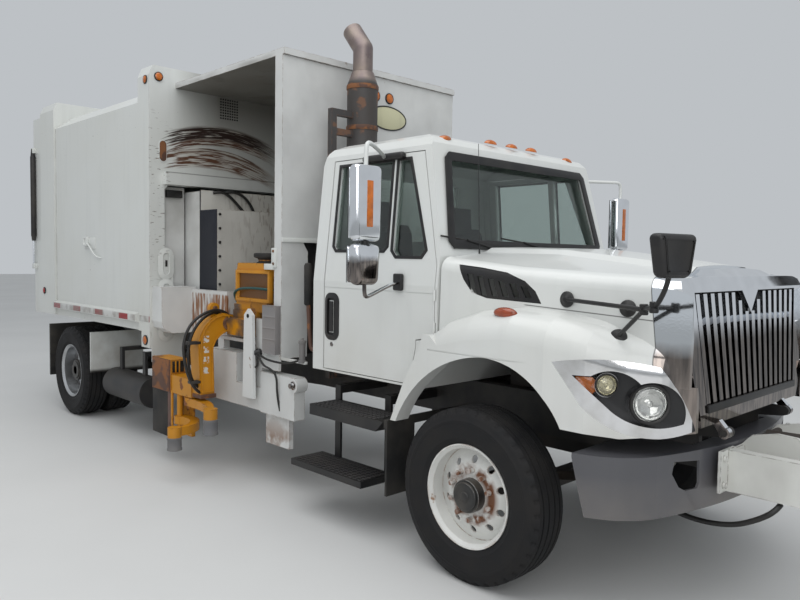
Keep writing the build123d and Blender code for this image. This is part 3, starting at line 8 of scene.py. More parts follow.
# %% Load the frame
import bmesh
import bpy
import json
from math import atan2, cos, pi, radians, sin
from mathutils import Matrix, Vector


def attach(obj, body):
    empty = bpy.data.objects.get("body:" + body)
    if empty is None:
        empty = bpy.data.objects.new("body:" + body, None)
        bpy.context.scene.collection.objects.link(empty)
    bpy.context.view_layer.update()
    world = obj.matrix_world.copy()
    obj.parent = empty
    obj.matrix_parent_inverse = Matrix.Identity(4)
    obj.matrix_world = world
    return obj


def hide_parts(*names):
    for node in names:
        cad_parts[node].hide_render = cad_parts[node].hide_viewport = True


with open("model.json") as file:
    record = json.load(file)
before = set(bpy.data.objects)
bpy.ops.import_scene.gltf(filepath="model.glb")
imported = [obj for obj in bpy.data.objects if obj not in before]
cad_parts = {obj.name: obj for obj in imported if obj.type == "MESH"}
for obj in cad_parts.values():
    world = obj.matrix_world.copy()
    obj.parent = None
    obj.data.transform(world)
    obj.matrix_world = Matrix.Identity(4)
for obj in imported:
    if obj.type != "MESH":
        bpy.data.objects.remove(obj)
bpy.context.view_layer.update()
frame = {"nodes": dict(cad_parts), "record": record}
nodes = frame["nodes"]
bpy.ops.object.select_all(action="DESELECT")

# %% [markdown]
# ## The camera
# The photograph was taken by someone standing off the front right corner, with the lens a
# little above waist height. A camera could be aimed with a Track To constraint, but the
# picture also leans by a degree, so the camera's three axes are worked out from its yaw,
# pitch and roll and written as a matrix.

# %% Aim the camera
EYE = Vector((5.317, -4.299, 1.866))
YAW, PITCH, ROLL = radians(135.838), radians(-3.333), radians(0.92)
FOCAL_LENGTH = 32.84
X, Y, Z = (Vector(axis) for axis in ((1, 0, 0), (0, 1, 0), (0, 0, 1)))

ahead = Vector((cos(YAW) * cos(PITCH), sin(YAW) * cos(PITCH), sin(PITCH)))
level = ahead.cross(Z).normalized()
over = level.cross(ahead)
right = cos(ROLL) * level + sin(ROLL) * over
up = cos(ROLL) * over - sin(ROLL) * level

camera = bpy.data.objects.new("camera", bpy.data.cameras.new("camera"))
bpy.context.scene.collection.objects.link(camera)
camera.data.lens = FOCAL_LENGTH
camera.data.clip_end = 200
camera.matrix_world = Matrix.Translation(EYE) @ Matrix((right, up, -ahead)).transposed().to_4x4()
bpy.context.scene.camera = camera
print("camera looks along", tuple(round(v, 3) for v in ahead))

# %% [markdown]
# ## A toolkit for finishes
# Paint on a work truck is never one colour. Dust lies low, rain leaves streaks down the
# sides, edges are chipped. Painted image textures could show that, but they would tie the
# finish to one unwrapping. Small node groups on Object coordinates work on any piece,
# because every piece here sits at the origin with its place in its mesh. The classes below
# keep the usual steps (noise, a mask by place, a layer of colour, a bump) to one line each.

# %% Wires that add up like numbers
class Wire:
    """One output of a node. Sums of wires add Math nodes, and a | b is the greater one."""

    def __init__(self, finish, socket):
        self.finish, self.socket = finish, socket

    def __add__(self, other):
        return self.finish.math("ADD", self, other)

    def __sub__(self, other):
        return self.finish.math("SUBTRACT", self, other)

    def __rsub__(self, other):
        return self.finish.math("SUBTRACT", other, self)

    def __mul__(self, other):
        return self.finish.math("MULTIPLY", self, other)

    def __or__(self, other):
        return self.finish.math("MAXIMUM", self, other)

    def __abs__(self):
        return self.finish.math("ABSOLUTE", self)


print("wires ready")

# %% The finish toolkit
class Finish:
    """One material: a Principled shader and short ways to feed its sockets."""

    def __init__(self, name, color, roughness, metallic=0.0, coat=0.0, transmission=0.0):
        self.material = bpy.data.materials.new(name)
        self.material.use_nodes = True
        self.tree = self.material.node_tree
        self.inputs = self.tree.nodes["Principled BSDF"].inputs
        self.base = color
        for socket, value in (("Base Color", color), ("Roughness", roughness),
                              ("Metallic", metallic), ("Coat Weight", coat),
                              ("Transmission Weight", transmission)):
            self.set(socket, value)
        self.place = self.node("TexCoord", output="Object")
        axes = self.node("SeparateXYZ", {0: self.place}).socket.node.outputs
        self.x, self.y, self.z = (Wire(self, axis) for axis in axes)

    def feed(self, socket, value):
        """Links a wire to a socket, or sets the socket to a number or a colour."""
        if isinstance(value, Wire):
            self.tree.links.new(value.socket, socket)
        else:
            socket.default_value = (*value, 1) if socket.type == "RGBA" else value

    def set(self, socket, value):
        self.feed(self.inputs[socket], value)

    def node(self, kind, inputs=None, output=0, **settings):
        """Adds a node and gives the wire from one of its outputs."""
        node = self.tree.nodes.new("ShaderNode" + kind)
        for key, value in settings.items():
            setattr(node, key, value)
        for key, value in (inputs or {}).items():
            self.feed(node.inputs[key], value)
        return Wire(self, node.outputs[output])

    def math(self, operation, a, b=0.5):
        return self.node("Math", {0: a, 1: b}, operation=operation)

    def ramp(self, value, low, high):
        """1 where the value passes high, 0 below low, also with low above high."""
        return self.node("MapRange", {0: value, 1: low, 2: high})

    def noise(self, scale, low=0.4, high=0.6, stretch=(1, 1, 1), detail=4):
        """A mask of soft spots: 0 below low and 1 above high."""
        place = self.node("Mapping", {"Vector": self.place, "Scale": stretch})
        return self.ramp(self.node("TexNoise", {"Vector": place, "Scale": scale,
                                                "Detail": detail}), low, high)

    def wave(self, scale, direction="X"):
        return self.node("TexWave", {"Vector": self.place, "Scale": scale}, "Fac",
                         bands_direction=direction)

    def along(self, axis, low, high):
        """A mask by place: 0 at low and 1 at high on the x, y or z axis."""
        return self.ramp(getattr(self, axis), low, high)

    def between(self, axis, low, high, soft=0.004):
        """1 inside a band of one axis."""
        return (self.along(axis, low - soft, low + soft)
                * self.along(axis, high + soft, high - soft))

    def facing(self, axis, low, high, sign=1):
        """1 on the faces that look along one axis."""
        normal = self.node("NewGeometry", output="Normal")
        return self.ramp(self.node("SeparateXYZ", {0: normal}, axis.upper()) * sign, low, high)

    def mix(self, mask, under, over):
        """The colour over the colour, where the mask says."""
        return self.node("Mix", {0: mask, 6: under, 7: over}, 2, data_type="RGBA")

    def layer(self, mask, color):
        """Lays a colour over the base colour so far, where the mask says."""
        self.base = self.mix(mask, self.base, color)
        self.set("Base Color", self.base)

    def rough(self, mask, low, high):
        """Roughness between two values, as the mask says."""
        self.dullness = self.node("MapRange", {0: mask, 3: low, 4: high})
        self.set("Roughness", self.dullness)

    def bump(self, height, depth, strength=1.0):
        """Raises the surface by depth metres where the height is 1."""
        self.set("Normal", self.node("Bump", {"Height": height, "Distance": depth,
                                              "Strength": strength}))


print("toolkit ready")

# %% [markdown]
# ## White paint on the cab
# The cab and hood are gloss white, kept clean by washing, with road dust low on the doors and
# small chips. A glossy white could be one colour with a clear coat, but it would look like
# plastic, so a broad, barely seen change of tone and a dust mask by height are mixed in.

# %% White cab paint
ROAD_DUST = (0.36, 0.31, 0.25)
BARE_STEEL = (0.16, 0.15, 0.14)
WARM_TINT = (0.94, 0.93, 0.90)


def darker(color, share):
    return tuple(c * share for c in color)


def painted(name, color, dust_low=0.6, dust_high=1.7, chips=0.80, coat=0.35, roughness=0.28,
            streaks=0.12):
    """Truck paint with tone, rain streaks, dust low down and a few chips."""
    paint = Finish(name, color, roughness, coat=coat)
    paint.layer(paint.noise(1.3, 0.3, 0.75) * 0.8, tuple(c * t for c, t in zip(color, WARM_TINT)))
    side_wall = 1.0 - paint.facing("z", 0.4, 0.8)
    rain = paint.noise(3.0, 0.52, 0.8, (4, 4, 0.35), 6) * side_wall * streaks
    paint.layer(rain, darker(color, 0.62))
    low = paint.along("z", dust_high, dust_low) * paint.noise(2.2, 0.25, 0.8)
    paint.layer(low * 0.55, ROAD_DUST)
    chip = paint.noise(38, chips, chips + 0.03, detail=2) * paint.noise(1.7, 0.5, 0.6)
    paint.layer(chip, BARE_STEEL)
    paint.rough(low + rain, roughness, 0.62)
    paint.bump(paint.noise(90, 0.2, 0.8, detail=2), 0.0002, 0.25)
    return paint


CAB_WHITE = (0.72, 0.735, 0.72)
cab_white = painted("cab_white_paint", CAB_WHITE)
print("cab paint:", cab_white.material.name)

# %% [markdown]
# ## The hood's chrome corner and its seams
# The hood solid also holds the chrome corner beside the grille. It could be a piece of its
# own, but it is flush with the paint, so a sloped mask turns the same finish into chrome
# there. Chrome outdoors mirrors the sky above the ground, so a painted reflection stands in
# for it in a plain studio: two tones with a soft horizon. Two thin lines draw the hood's
# split and the chrome's edge.

# %% Hood paint
CORNER_X = 3.7915
hood_white = paint = painted("hood_white_paint", CAB_WHITE)
sloped = paint.x + paint.z * 0.12
corner = paint.ramp(sloped, CORNER_X - 0.0015, CORNER_X + 0.0015)
horizon = paint.z + paint.noise(5, 0.2, 0.8) * 0.06
ground = paint.mix(paint.noise(9, 0.4, 0.65, (3, 3, 0.4)), (0.34, 0.29, 0.26), (0.17, 0.15, 0.14))
split = (paint.ramp(abs(paint.z + paint.x * 0.056 - 1.7728), 0.0045, 0.0015)
         * paint.along("x", 2.86, 2.88) * paint.facing("z", 0.9, 0.8))
rim = paint.ramp(abs(sloped - CORNER_X), 0.004, 0.001)
lines = split * paint.ramp(sloped, CORNER_X + 0.0015, CORNER_X - 0.0015) | rim
# Painted reflection: the chrome corner takes a pale sky tone above a soft horizon and a dark ground
# tone below.
paint.layer(corner, paint.mix(paint.ramp(horizon, 1.50, 1.42), (0.82, 0.85, 0.88), ground))
paint.layer(lines * 0.8, (0.05, 0.048, 0.045))
paint.set("Metallic", corner)
paint.set("Roughness", paint.dullness * (1.0 - corner * 0.72))
print("hood paint:", hood_white.material.name)

# %% [markdown]
# ## White paint on the body
# The body's sides are the same white but are washed less. Grime lines the welds, painted
# shade darkens the hoop's wall under the canopy towards the top, and a painted shadow line
# runs along the top of the shelf beam. The wall above the load opening carries long brown
# scrapes, left by the bins as the arm tips them. The scrapes could be modelled as thin strips,
# but a scratch has no thickness, so they are rings: the distance from a far centre, cut into
# thin lines.

# %% Scrapes along an arc
HOOP_X = -1.18
SCRAPE_RINGS = (  # centre y and z, radius, width, how few threads, colour
    (-0.484, 1.586, 1.470, 0.075, 0.37, (0.026, 0.013, 0.010)),
    (-0.484, 1.560, 1.408, 0.040, 0.44, (0.085, 0.035, 0.020)),
    (-0.596, 1.542, 1.335, 0.028, 0.46, (0.085, 0.038, 0.022)),
    (-0.661, 1.028, 1.760, 0.090, 0.46, (0.11, 0.048, 0.026)))


def scrape_ring(paint, y, z, radius, width, threads, color):
    """Adds broken lines along an arc around a centre, on the wall that faces ahead."""
    centre = paint.node("CombineXYZ", {0: paint.x, 1: y, 2: z})
    far = paint.node("VectorMath", {0: paint.place, 1: centre}, "Value", operation="DISTANCE")
    lines = paint.node("CombineXYZ", {0: far, 1: paint.y * 0.055})
    thread = paint.node("TexNoise", {"Vector": lines, "Scale": 75.0, "Detail": 6.0})
    ragged = paint.y + thread * 0.9
    stain = (paint.ramp(abs(far - radius), width, width * 0.6)
             * paint.ramp(ragged, -0.62, -0.50) * paint.ramp(ragged, 0.62, 0.40)
             * paint.along("x", HOOP_X - 0.16, HOOP_X - 0.12) * paint.facing("x", 0.6, 0.8))
    paint.layer(stain * 0.35, (0.33, 0.26, 0.19))
    paint.layer(stain * paint.ramp(thread, threads, threads + 0.08), color)


print("scrapes:", len(SCRAPE_RINGS))

# %% White body paint
body_white = paint = painted("body_white_paint", (0.66, 0.675, 0.655), 0.7, 1.5, 0.74, 0.15, 0.38,
                             0.16)
for x, wide in ((-1.428, 0.003), (-3.640, 0.004), (-1.1865, 0.002)):
    seam = (paint.between("x", x - wide, x + wide, 0.002) * paint.facing("x", 0.7, 0.5)
            * paint.noise(6, 0.35, 0.55))
    paint.layer(seam * 0.8, (0.05, 0.04, 0.035))
post = (paint.along("x", HOOP_X - 0.02, HOOP_X - 0.01) * paint.along("y", -1.00, -1.06)
        * paint.between("z", 1.7, 3.1, 0.2) * paint.noise(24, 0.63, 0.66, (1, 0.6, 3.0), 5))
# Painted shade: the hoop's wall that faces ahead under the canopy grows darker towards the top.
canopy_wall_shade = (paint.along("x", HOOP_X - 0.10, HOOP_X - 0.09) * paint.along("z", 2.55, 3.35)
        * paint.along("y", -1.0, -0.5) * paint.facing("x", 0.6, 0.8))
# Painted shadow: a dark band just above the shelf beam's top edge.
beam_top_shadow = (paint.along("x", HOOP_X + 0.06, HOOP_X + 0.07) * paint.along("z", 2.617, 2.627)
            * paint.along("z", 2.70, 2.66))
paint.layer(post * 0.7, (0.12, 0.09, 0.07))
paint.layer(canopy_wall_shade * 0.85, (0.12, 0.11, 0.09))
paint.layer(beam_top_shadow * 0.7, (0.07, 0.065, 0.055))
for ring in SCRAPE_RINGS:
    scrape_ring(paint, *ring)
print("body paint:", body_white.material.name)

# %% [markdown]
# ## Steel, rubber, glass and chrome
# The frame is black paint under brown road dust, the tyres are worn rubber with dusty
# shoulders, and the grille, mirrors and headlamp bezels are chrome. Each has its own tone,
# roughness and grain. One shared dark material would be quicker, but rubber, paint and
# plastic catch light in different ways, and that is what tells them apart.

# %% Black paint and rubber
def dusty(name, color, roughness, dust=0.5, dust_color=ROAD_DUST, grain=60, top=0.6):
    """A dark surface with dust that lies on its upper faces and in patches."""
    skin = Finish(name, color, roughness)
    lying = (skin.noise(4.5, 0.35, 0.75, detail=8) | skin.facing("z", 0.3, 0.9) * top) * dust
    skin.layer(lying, dust_color)
    skin.rough(lying, roughness, 0.85)
    skin.bump(skin.noise(grain, 0.2, 0.8, detail=3), 0.0006, 0.35)
    return skin


frame_black = dusty("frame_black_paint", (0.009, 0.009, 0.010), 0.5, 0.12)
axle_black = dusty("axle_black_paint", (0.012, 0.011, 0.010), 0.5, 0.4, (0.09, 0.06, 0.04))
trim_black = dusty("black_plastic", (0.007, 0.007, 0.008), 0.42, 0.05, top=0.3)
rubber = dusty("mudflap_rubber", (0.010, 0.010, 0.010), 0.75, 0.10, top=0.2)
hose_black = dusty("hose_rubber", (0.006, 0.006, 0.006), 0.4, 0.05, top=0.3)
tank_grey = dusty("tank_paint", (0.014, 0.014, 0.016), 0.45, 0.10)
seat_grey = dusty("seat_cloth", (0.075, 0.075, 0.082), 0.9, 0.2, grain=420)
guard_paint = paint = dusty("mudguard_paint", (0.010, 0.010, 0.010), 0.6, 0.15)
paint.layer(paint.along("x", -3.0, -2.9) * paint.along("z", 0.57, 0.60),
            paint.mix(paint.noise(3, 0.4, 0.8), (0.58, 0.59, 0.57), (0.30, 0.27, 0.23)))
print("dark finishes:", frame_black.material.name, rubber.material.name)

# %% Tyre rubber
tyre = Finish("tyre_rubber", (0.011, 0.011, 0.012), 0.72)
tyre.set("Specular IOR Level", 0.25)
clay = tyre.noise(6, 0.38, 0.78, detail=8)
tyre.layer(clay * 0.12, (0.12, 0.105, 0.088))
tyre.rough(clay, 0.62, 0.92)
tyre.bump(tyre.noise(130, 0.3, 0.7, detail=4), 0.0008, 0.4)
print("tyre rubber ready")

# %% Chrome and bare metal
def polished(name, color, low, high, spots=0.25):
    """Bright metal with a film of dust that dulls it in patches."""
    metal = Finish(name, color, low, metallic=1.0)
    film = metal.noise(7, 0.35, 0.8, detail=7)
    metal.layer(film * spots, darker(color, 0.5))
    metal.rough(film, low, high)
    metal.bump(metal.noise(160, 0.3, 0.7, detail=2), 0.0001, 0.15)
    return metal


def mirroring(name, ground_z, sky_z):
    """Chrome with a painted reflection: below a soft horizon, faces that do not look up take the
    ground's tone, and the rest keeps the sky's.
    """
    metal = polished(name, (0.84, 0.86, 0.89), 0.05, 0.18)
    wavy = metal.z + metal.noise(5, 0.2, 0.8) * 0.05
    gravel_reflection = metal.mix(metal.noise(18, 0.4, 0.65, (3, 3, 0.4)), (0.27, 0.235, 0.215),
                       (0.11, 0.10, 0.10))
    # Painted reflection of the ground on the lower chrome.
    metal.layer(metal.ramp(wavy, sky_z, ground_z) * metal.facing("z", 0.5, 0.2), gravel_reflection)
    return metal


chrome = mirroring("chrome", 1.47, 1.60)
mirror_chrome = mirroring("mirror_chrome", 1.86, 1.90)
rim_silver = polished("rim_silver", (0.56, 0.57, 0.58), 0.30, 0.5, 0.5)
print("bright metals:", chrome.material.name, rim_silver.material.name)

# %% [markdown]
# ## The yellow arm and its rusty housing
# The arm is safety yellow, worn to steel and rust on its edges. Its slide box is brown with
# rust and its end plate is white. They are one CAD solid, so the colour changes by place. A
# wear mask by sharp edges needs the Bevel node: where the rounded normal differs from the
# true one, there is an edge.

# %% Edge wear
RUST = (0.20, 0.075, 0.03)
GREASE = (0.055, 0.035, 0.02)


def edge_mask(paint):
    """1 along the edges of a solid, broken up by noise."""
    rounded = paint.node("Bevel", {"Radius": 0.012}, samples=4)
    true = paint.node("NewGeometry", output="Normal")
    same = paint.node("VectorMath", {0: rounded, 1: true}, "Value", operation="DOT_PRODUCT")
    return paint.ramp(1.0 - same, 0.04, 0.25) * paint.noise(16, 0.42, 0.56, detail=6)


def worn(name, color, under=RUST, roughness=0.42, rust_at=0.62, grease=0.35):
    """Machine paint that is worn through on edges and in patches."""
    paint = Finish(name, color, roughness)
    paint.layer(paint.noise(3.5, 0.3, 0.7), darker(color, 0.86))
    oil = paint.noise(2.4, 0.52, 0.72, (1, 1, 0.6), 7)
    paint.layer(oil * grease, GREASE)
    worn_off = paint.noise(7.5, rust_at, rust_at + 0.05, detail=9) | edge_mask(paint)
    paint.layer(worn_off, under)
    paint.rough(worn_off + oil, roughness, 0.8)
    paint.bump(1.0 - worn_off, 0.0008, 0.5)
    return paint


print("worn paint ready")

# %% Yellow, rust and the arm's stickers
YELLOW = (0.56, 0.235, 0.006)
STICKER_FOOT, STICKER_HEAD, STICKER_STEP = 0.865, 1.215, 0.0875
arm_yellow = paint = worn("arm_yellow_paint", YELLOW, rust_at=0.66)
rows = paint.math("FRACT", (paint.z - STICKER_FOOT) * (1 / STICKER_STEP))
sticker = (paint.between("x", -0.186, -0.174) * paint.facing("x", 0.8, 0.9)
           * paint.between("y", -1.243, -1.192, 0.003)
           * paint.between("z", STICKER_FOOT, STICKER_HEAD, 0.003)
           * paint.ramp(rows, 0.66, 0.62) * paint.noise(34, 0.46, 0.50, detail=6))
# Painted shade: the sunk floor of the tower panel, facing -y, is dark amber.
recess = (paint.along("y", -0.974, -0.968) * paint.facing("y", 0.6, 0.8, -1)
          * paint.along("z", 1.40, 1.42))
paint.layer(recess, (0.125, 0.045, 0.002))
paint.layer(sticker, (0.62, 0.60, 0.56))
boom_paint = paint = worn("boom_paint", YELLOW, (0.20, 0.085, 0.03), rust_at=0.60, grease=0.8)
low_part = paint.along("z", 1.452, 1.448)
paint.layer(low_part * paint.noise(5, 0.42, 0.60, detail=8), (0.10, 0.062, 0.04))
paint.layer(low_part * paint.along("y", -1.03, -1.033) * paint.along("x", 0.124, 0.128),
            paint.mix(paint.noise(7, 0.68, 0.72, detail=8), (0.66, 0.67, 0.66), (0.20, 0.12, 0.07)))
head_paint = paint = worn("gripper_paint", YELLOW, grease=0.6)
paint.layer(paint.along("x", -0.678, -0.684) * paint.facing("z", 0.8, 0.5),
            paint.mix(paint.noise(9, 0.4, 0.65, detail=9), (0.115, 0.046, 0.028),
                      (0.075, 0.04, 0.03)))
brown_steel = worn("brown_steel", (0.105, 0.050, 0.032), (0.22, 0.09, 0.035), 0.6, 0.5)
print("arm paints:", arm_yellow.material.name, boom_paint.material.name)

# %% [markdown]
# ## The hopper, the packer and the small greys
# The hopper's walls are white, with rust that runs down from the lip of the pit, and painted
# shade inside the pit and under its canopy. The packer's outer face is painted near black as
# shade, and its face has brown scratches where it slides. The front bumper is plain grey
# paint. All of them are the same worn paint with layers of their own on top.

# %% Worn whites and greys
hopper_grey = paint = worn("hopper_paint", (0.66, 0.665, 0.65), (0.26, 0.20, 0.16), 0.42, 0.72,
                           0.12)
runs = (paint.along("x", -0.974, -0.968) * paint.along("x", -0.33, -0.34)
        * paint.along("y", -0.86, -0.88) * paint.along("z", 1.12, 1.2)
        * paint.noise(9, 0.42, 0.56, (3, 3, 0.5), 7) * paint.along("z", 1.515, 1.50))
# Painted shade inside the hopper: mottled darkening that grows from z 1.5 to 2.3 and stops below the
# canopy.
inner = (paint.along("x", 0.47, 0.40) * paint.along("z", 1.5, 2.3) * paint.noise(3, 0.3, 0.8)
         * paint.along("y", 0.96, 0.94) * paint.along("z", 3.46, 3.44))
# Painted shade: downward faces under the canopy, above z 3.2, are darkened.
canopy_underside_shade = paint.facing("z", 0.5, 0.8, -1) * paint.along("z", 3.2, 3.3)
paint.layer(runs, (0.24, 0.105, 0.045))
paint.layer(inner * 0.8, (0.24, 0.23, 0.20))
paint.layer(canopy_underside_shade * 0.85, (0.12, 0.11, 0.09))
paint.layer(paint.along("z", 0.60, 0.36) * paint.noise(7, 0.42, 0.6), (0.22, 0.12, 0.07))
packer_white = paint = worn("packer_paint", (0.60, 0.585, 0.54), (0.26, 0.20, 0.15), 0.5, 0.70,
                            0.15)
slide_marks = paint.noise(16, 0.56, 0.62, (1, 2.4, 0.5), 6) * paint.along("y", -0.75, 0.1)
film = paint.along("y", -0.5, 0.5) * paint.noise(2.5, 0.3, 0.7)
paint.layer(film * 0.6, (0.36, 0.31, 0.22))
paint.layer(slide_marks * 0.75, (0.13, 0.075, 0.045))
# Painted shade: the packer's faces that look along -y are near black.
paint.layer(paint.facing("y", 0.6, 0.8, -1), (0.008, 0.010, 0.018))
hitch_white = worn("hitch_paint", (0.70, 0.70, 0.66), (0.17, 0.15, 0.13), 0.42, 0.70, 0.2)
bumper_grey = painted("bumper_paint", (0.088, 0.088, 0.098), 0.5, 0.8, 0.78, 0.2, 0.36, 0.2)
print("worn paints:", hopper_grey.material.name, packer_white.material.name)

# %% Wheel discs and the exhaust
FRONT_AXLE, REAR_AXLE, AXLE_HEIGHT = 2.65, -3.30, 0.508
STUD_CIRCLE = 0.143
wheel_white = paint = worn("wheel_white_paint", (0.74, 0.74, 0.71), (0.25, 0.14, 0.08), 0.36, 0.70,
                           0.2)
across, upward = paint.x - FRONT_AXLE, paint.z - AXLE_HEIGHT
from_hub = paint.math("SQRT", across * across + upward * upward)
paint.layer(paint.ramp(abs(from_hub - STUD_CIRCLE), 0.050, 0.018)
            * paint.noise(14, 0.40, 0.58, detail=8), (0.16, 0.065, 0.03))
exhaust_steel = paint = worn("exhaust_steel", (0.055, 0.05, 0.048), (0.15, 0.08, 0.05), 0.5, 0.58)
tip = paint.along("z", 3.26, 3.30)
paint.layer(tip, paint.mix(paint.noise(6, 0.3, 0.7), (0.36, 0.30, 0.25), (0.20, 0.16, 0.17)))
paint.set("Metallic", tip * 0.9)
print("wheel and exhaust paints ready")

# %% [markdown]
# ## Glass and lamps
# The cab's windows are thin panes with a slight tint: from outside they mirror the sky and
# show a dim cab. A mirror with a colour would fake that, but real refraction keeps the seats
# in view, so the panes are a transmitting shader. The lamps' housings are dark inside.

# %% Glass
window_glass = Finish("window_glass", (0.60, 0.67, 0.64), 0.02, transmission=1.0)
window_glass.set("IOR", 1.45)
window_glass.rough(window_glass.noise(5, 0.4, 0.8, detail=8), 0.01, 0.07)
lamp_housing = dusty("lamp_housing", (0.012, 0.012, 0.013), 0.22, 0.10)
print("glass and lamp housing ready")

# %% [markdown]
# ## Every solid gets its finish
# The record names a material slot for each node. A dictionary from slot to finish is easier
# to check than fifty separate lines, and a node that has no finish would stop the script.

# %% Give the finishes out
FINISH_OF_SLOT = dict(
    frame_black=frame_black, axle_black=axle_black, cab_white=cab_white, body_white=body_white,
    hopper_grey=hopper_grey, packer_white=packer_white, gripper_yellow=arm_yellow,
    bumper_grey=bumper_grey, hitch_white=hitch_white, glass=window_glass, trim_black=trim_black,
    chrome=chrome, lamp=lamp_housing, seat_grey=seat_grey, tyre=tyre, wheel_white=wheel_white,
    wheel_silver=rim_silver, rubber=rubber, tank_grey=tank_grey, exhaust_steel=exhaust_steel)
FINISH_OF_NODE = dict(boom=boom_paint, gripper_head=head_paint, hood=hood_white,
                      rear_mudguards=guard_paint)
for row in frame["record"]["subparts"]:
    name = row["node"]
    finish = FINISH_OF_NODE.get(name) or FINISH_OF_SLOT[row["material_slot"]]
    nodes[name].data.materials.clear()
    nodes[name].data.materials.append(finish.material)
print("slots:", len(FINISH_OF_SLOT))

# %% [markdown]
# ## How a piece is modelled
# Every small part starts as a primitive at its place and is then shaped in edit mode, as it
# would be by hand. Short helpers keep the selection clean: the frame's solids stay selected
# after loading, and an operator would act on them too. Faces are picked by where they are or
# which way they look, which does not depend on their numbering.

# %% Start, pick and finish
SIDES = ((-1, "right"), (1, "left"))


def begin(name, kind, finish, **settings):
    """Adds one primitive, alone in the selection, with its finish."""
    bpy.ops.object.select_all(action="DESELECT")
    getattr(bpy.ops.mesh, f"primitive_{kind}_add")(**settings)
    piece = bpy.context.object
    piece.name = piece.data.name = name
    piece.data.materials.append(finish.material)
    return piece


def edit(piece, mode="FACE", action="DESELECT"):
    """Opens the piece in edit mode with nothing or, by SELECT, all of it selected."""
    bpy.context.view_layer.objects.active = piece
    bpy.ops.object.mode_set(mode="EDIT")
    bpy.ops.mesh.select_mode(type=mode)
    bpy.ops.mesh.select_all(action=action)


def pick(piece, test):
    """Selects the faces whose centre and normal pass the test, in world axes."""
    shape = bmesh.from_edit_mesh(piece.data)
    turn = piece.matrix_world
    for face in shape.faces:
        centre = turn @ face.calc_center_median()
        face.select_set(bool(test(centre, turn.to_3x3() @ face.normal)))
    shape.select_flush_mode()
    bmesh.update_edit_mesh(piece.data)


def pick_facing(piece, look):
    pick(piece, lambda centre, normal: normal.dot(look) > 0.9)


def leave_edit():
    bpy.ops.object.mode_set(mode="OBJECT")


def settle(piece, body, angle=35):
    """Back to object mode, place into the mesh, smooth but for sharp edges, on its body."""
    if piece.mode == "EDIT":
        leave_edit()
    bpy.ops.object.select_all(action="DESELECT")
    bpy.context.view_layer.objects.active = piece
    piece.select_set(True)
    bpy.ops.object.transform_apply(location=True, rotation=True, scale=True)
    bpy.ops.object.shade_smooth_by_angle(angle=radians(angle))
    piece.select_set(False)
    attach(piece, body)
    return piece


print("first helpers ready")

# %% Modifiers, copies and joins
MIRROR = Matrix.Diagonal((1, -1, 1, 1))


def use(piece, kind, **settings):
    """Adds a modifier and applies it at once."""
    bpy.context.view_layer.objects.active = piece
    modifier = piece.modifiers.new(kind, kind)
    for key, value in settings.items():
        setattr(modifier, key, value)
    bpy.ops.object.modifier_apply(modifier=modifier.name)


def ease(piece, width, segments=2):
    """Rounds the sharp edges."""
    use(piece, "BEVEL", width=width, segments=segments, limit_method="ANGLE")


def repeat(piece, count, offset):
    use(piece, "ARRAY", count=count, use_relative_offset=False, use_constant_offset=True,
        constant_offset_displace=offset)


def copy_piece(piece, name, body, change):
    """A copy with its own mesh, moved, turned or mirrored by a matrix."""
    twin = piece.copy()
    twin.data = piece.data.copy()
    twin.parent = None
    twin.matrix_world = Matrix.Identity(4)
    twin.name = twin.data.name = name
    bpy.context.scene.collection.objects.link(twin)
    twin.data.transform(change)
    if change.determinant() < 0:
        twin.data.flip_normals()
    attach(twin, body)
    return twin


def on_side(points, side):
    """Points of the truck's left side, or their mirror image on its right."""
    return [(x, side * y, z) for x, y, z in points]


def mirror_on_hood(piece):
    return copy_piece(piece, piece.name.replace("right", "left"), "tilt_hood", MIRROR)


def merge(pieces, name, body):
    """Joins pieces of one kind into one object."""
    bpy.ops.object.select_all(action="DESELECT")
    for piece in pieces:
        piece.parent = None
        piece.select_set(True)
    bpy.context.view_layer.objects.active = pieces[0]
    bpy.ops.object.join()
    joined = bpy.context.object
    joined.name = joined.data.name = name
    joined.select_set(False)
    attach(joined, body)
    return joined


print("copies and joins ready")

# %% [markdown]
# ## Four ways to a shape
# Most small parts are a turned profile, a flat plate, a block or a hose. Each could be built
# by hand every time, but one helper for each keeps the parts alike, and a part is then its
# list of points, measured on the frame and the photograph.

# %% Turned pieces
def lathe(name, profile, centre, axis, finish, body, steps=48, closed=False):
    """A line of (along, radius) points, spun around an axis."""
    axis = Vector(axis).normalized()
    across = axis.orthogonal().normalized()
    piece = begin(name, "circle", finish, vertices=len(profile), fill_type="NOTHING")
    for vertex, (along, radius) in zip(piece.data.vertices, profile):
        vertex.co = Vector(centre) + axis * along + across * radius
    edit(piece, "EDGE")
    if not closed:
        ends = {0, len(profile) - 1}
        shape = bmesh.from_edit_mesh(piece.data)
        for line in shape.edges:
            line.select_set({v.index for v in line.verts} == ends)
        bmesh.update_edit_mesh(piece.data)
        bpy.ops.mesh.delete(type="EDGE_FACE")
    bpy.ops.mesh.select_all(action="SELECT")
    bpy.ops.mesh.spin(steps=steps, angle=2 * pi, center=centre, axis=axis)
    bpy.ops.mesh.select_all(action="SELECT")
    bpy.ops.mesh.remove_doubles(threshold=0.0002)
    bpy.ops.mesh.normals_make_consistent(inside=False)
    return settle(piece, body)


print("lathe ready")

# %% Plates, strips, blocks and hoses
def sheet_of(name, corners, finish):
    """A flat plate's face: a filled circle with each corner dragged to its place."""
    piece = begin(name, "circle", finish, vertices=len(corners), fill_type="NGON")
    for vertex, corner in zip(piece.data.vertices, corners):
        vertex.co = corner
    piece.data.update()
    return piece


def thicken(piece, thickness, bevel=0.0, segments=2):
    """Gives an open face a thickness behind its front, and rounds its edges."""
    use(piece, "SOLIDIFY", thickness=thickness, offset=-1.0)
    if bevel:
        ease(piece, bevel, segments)


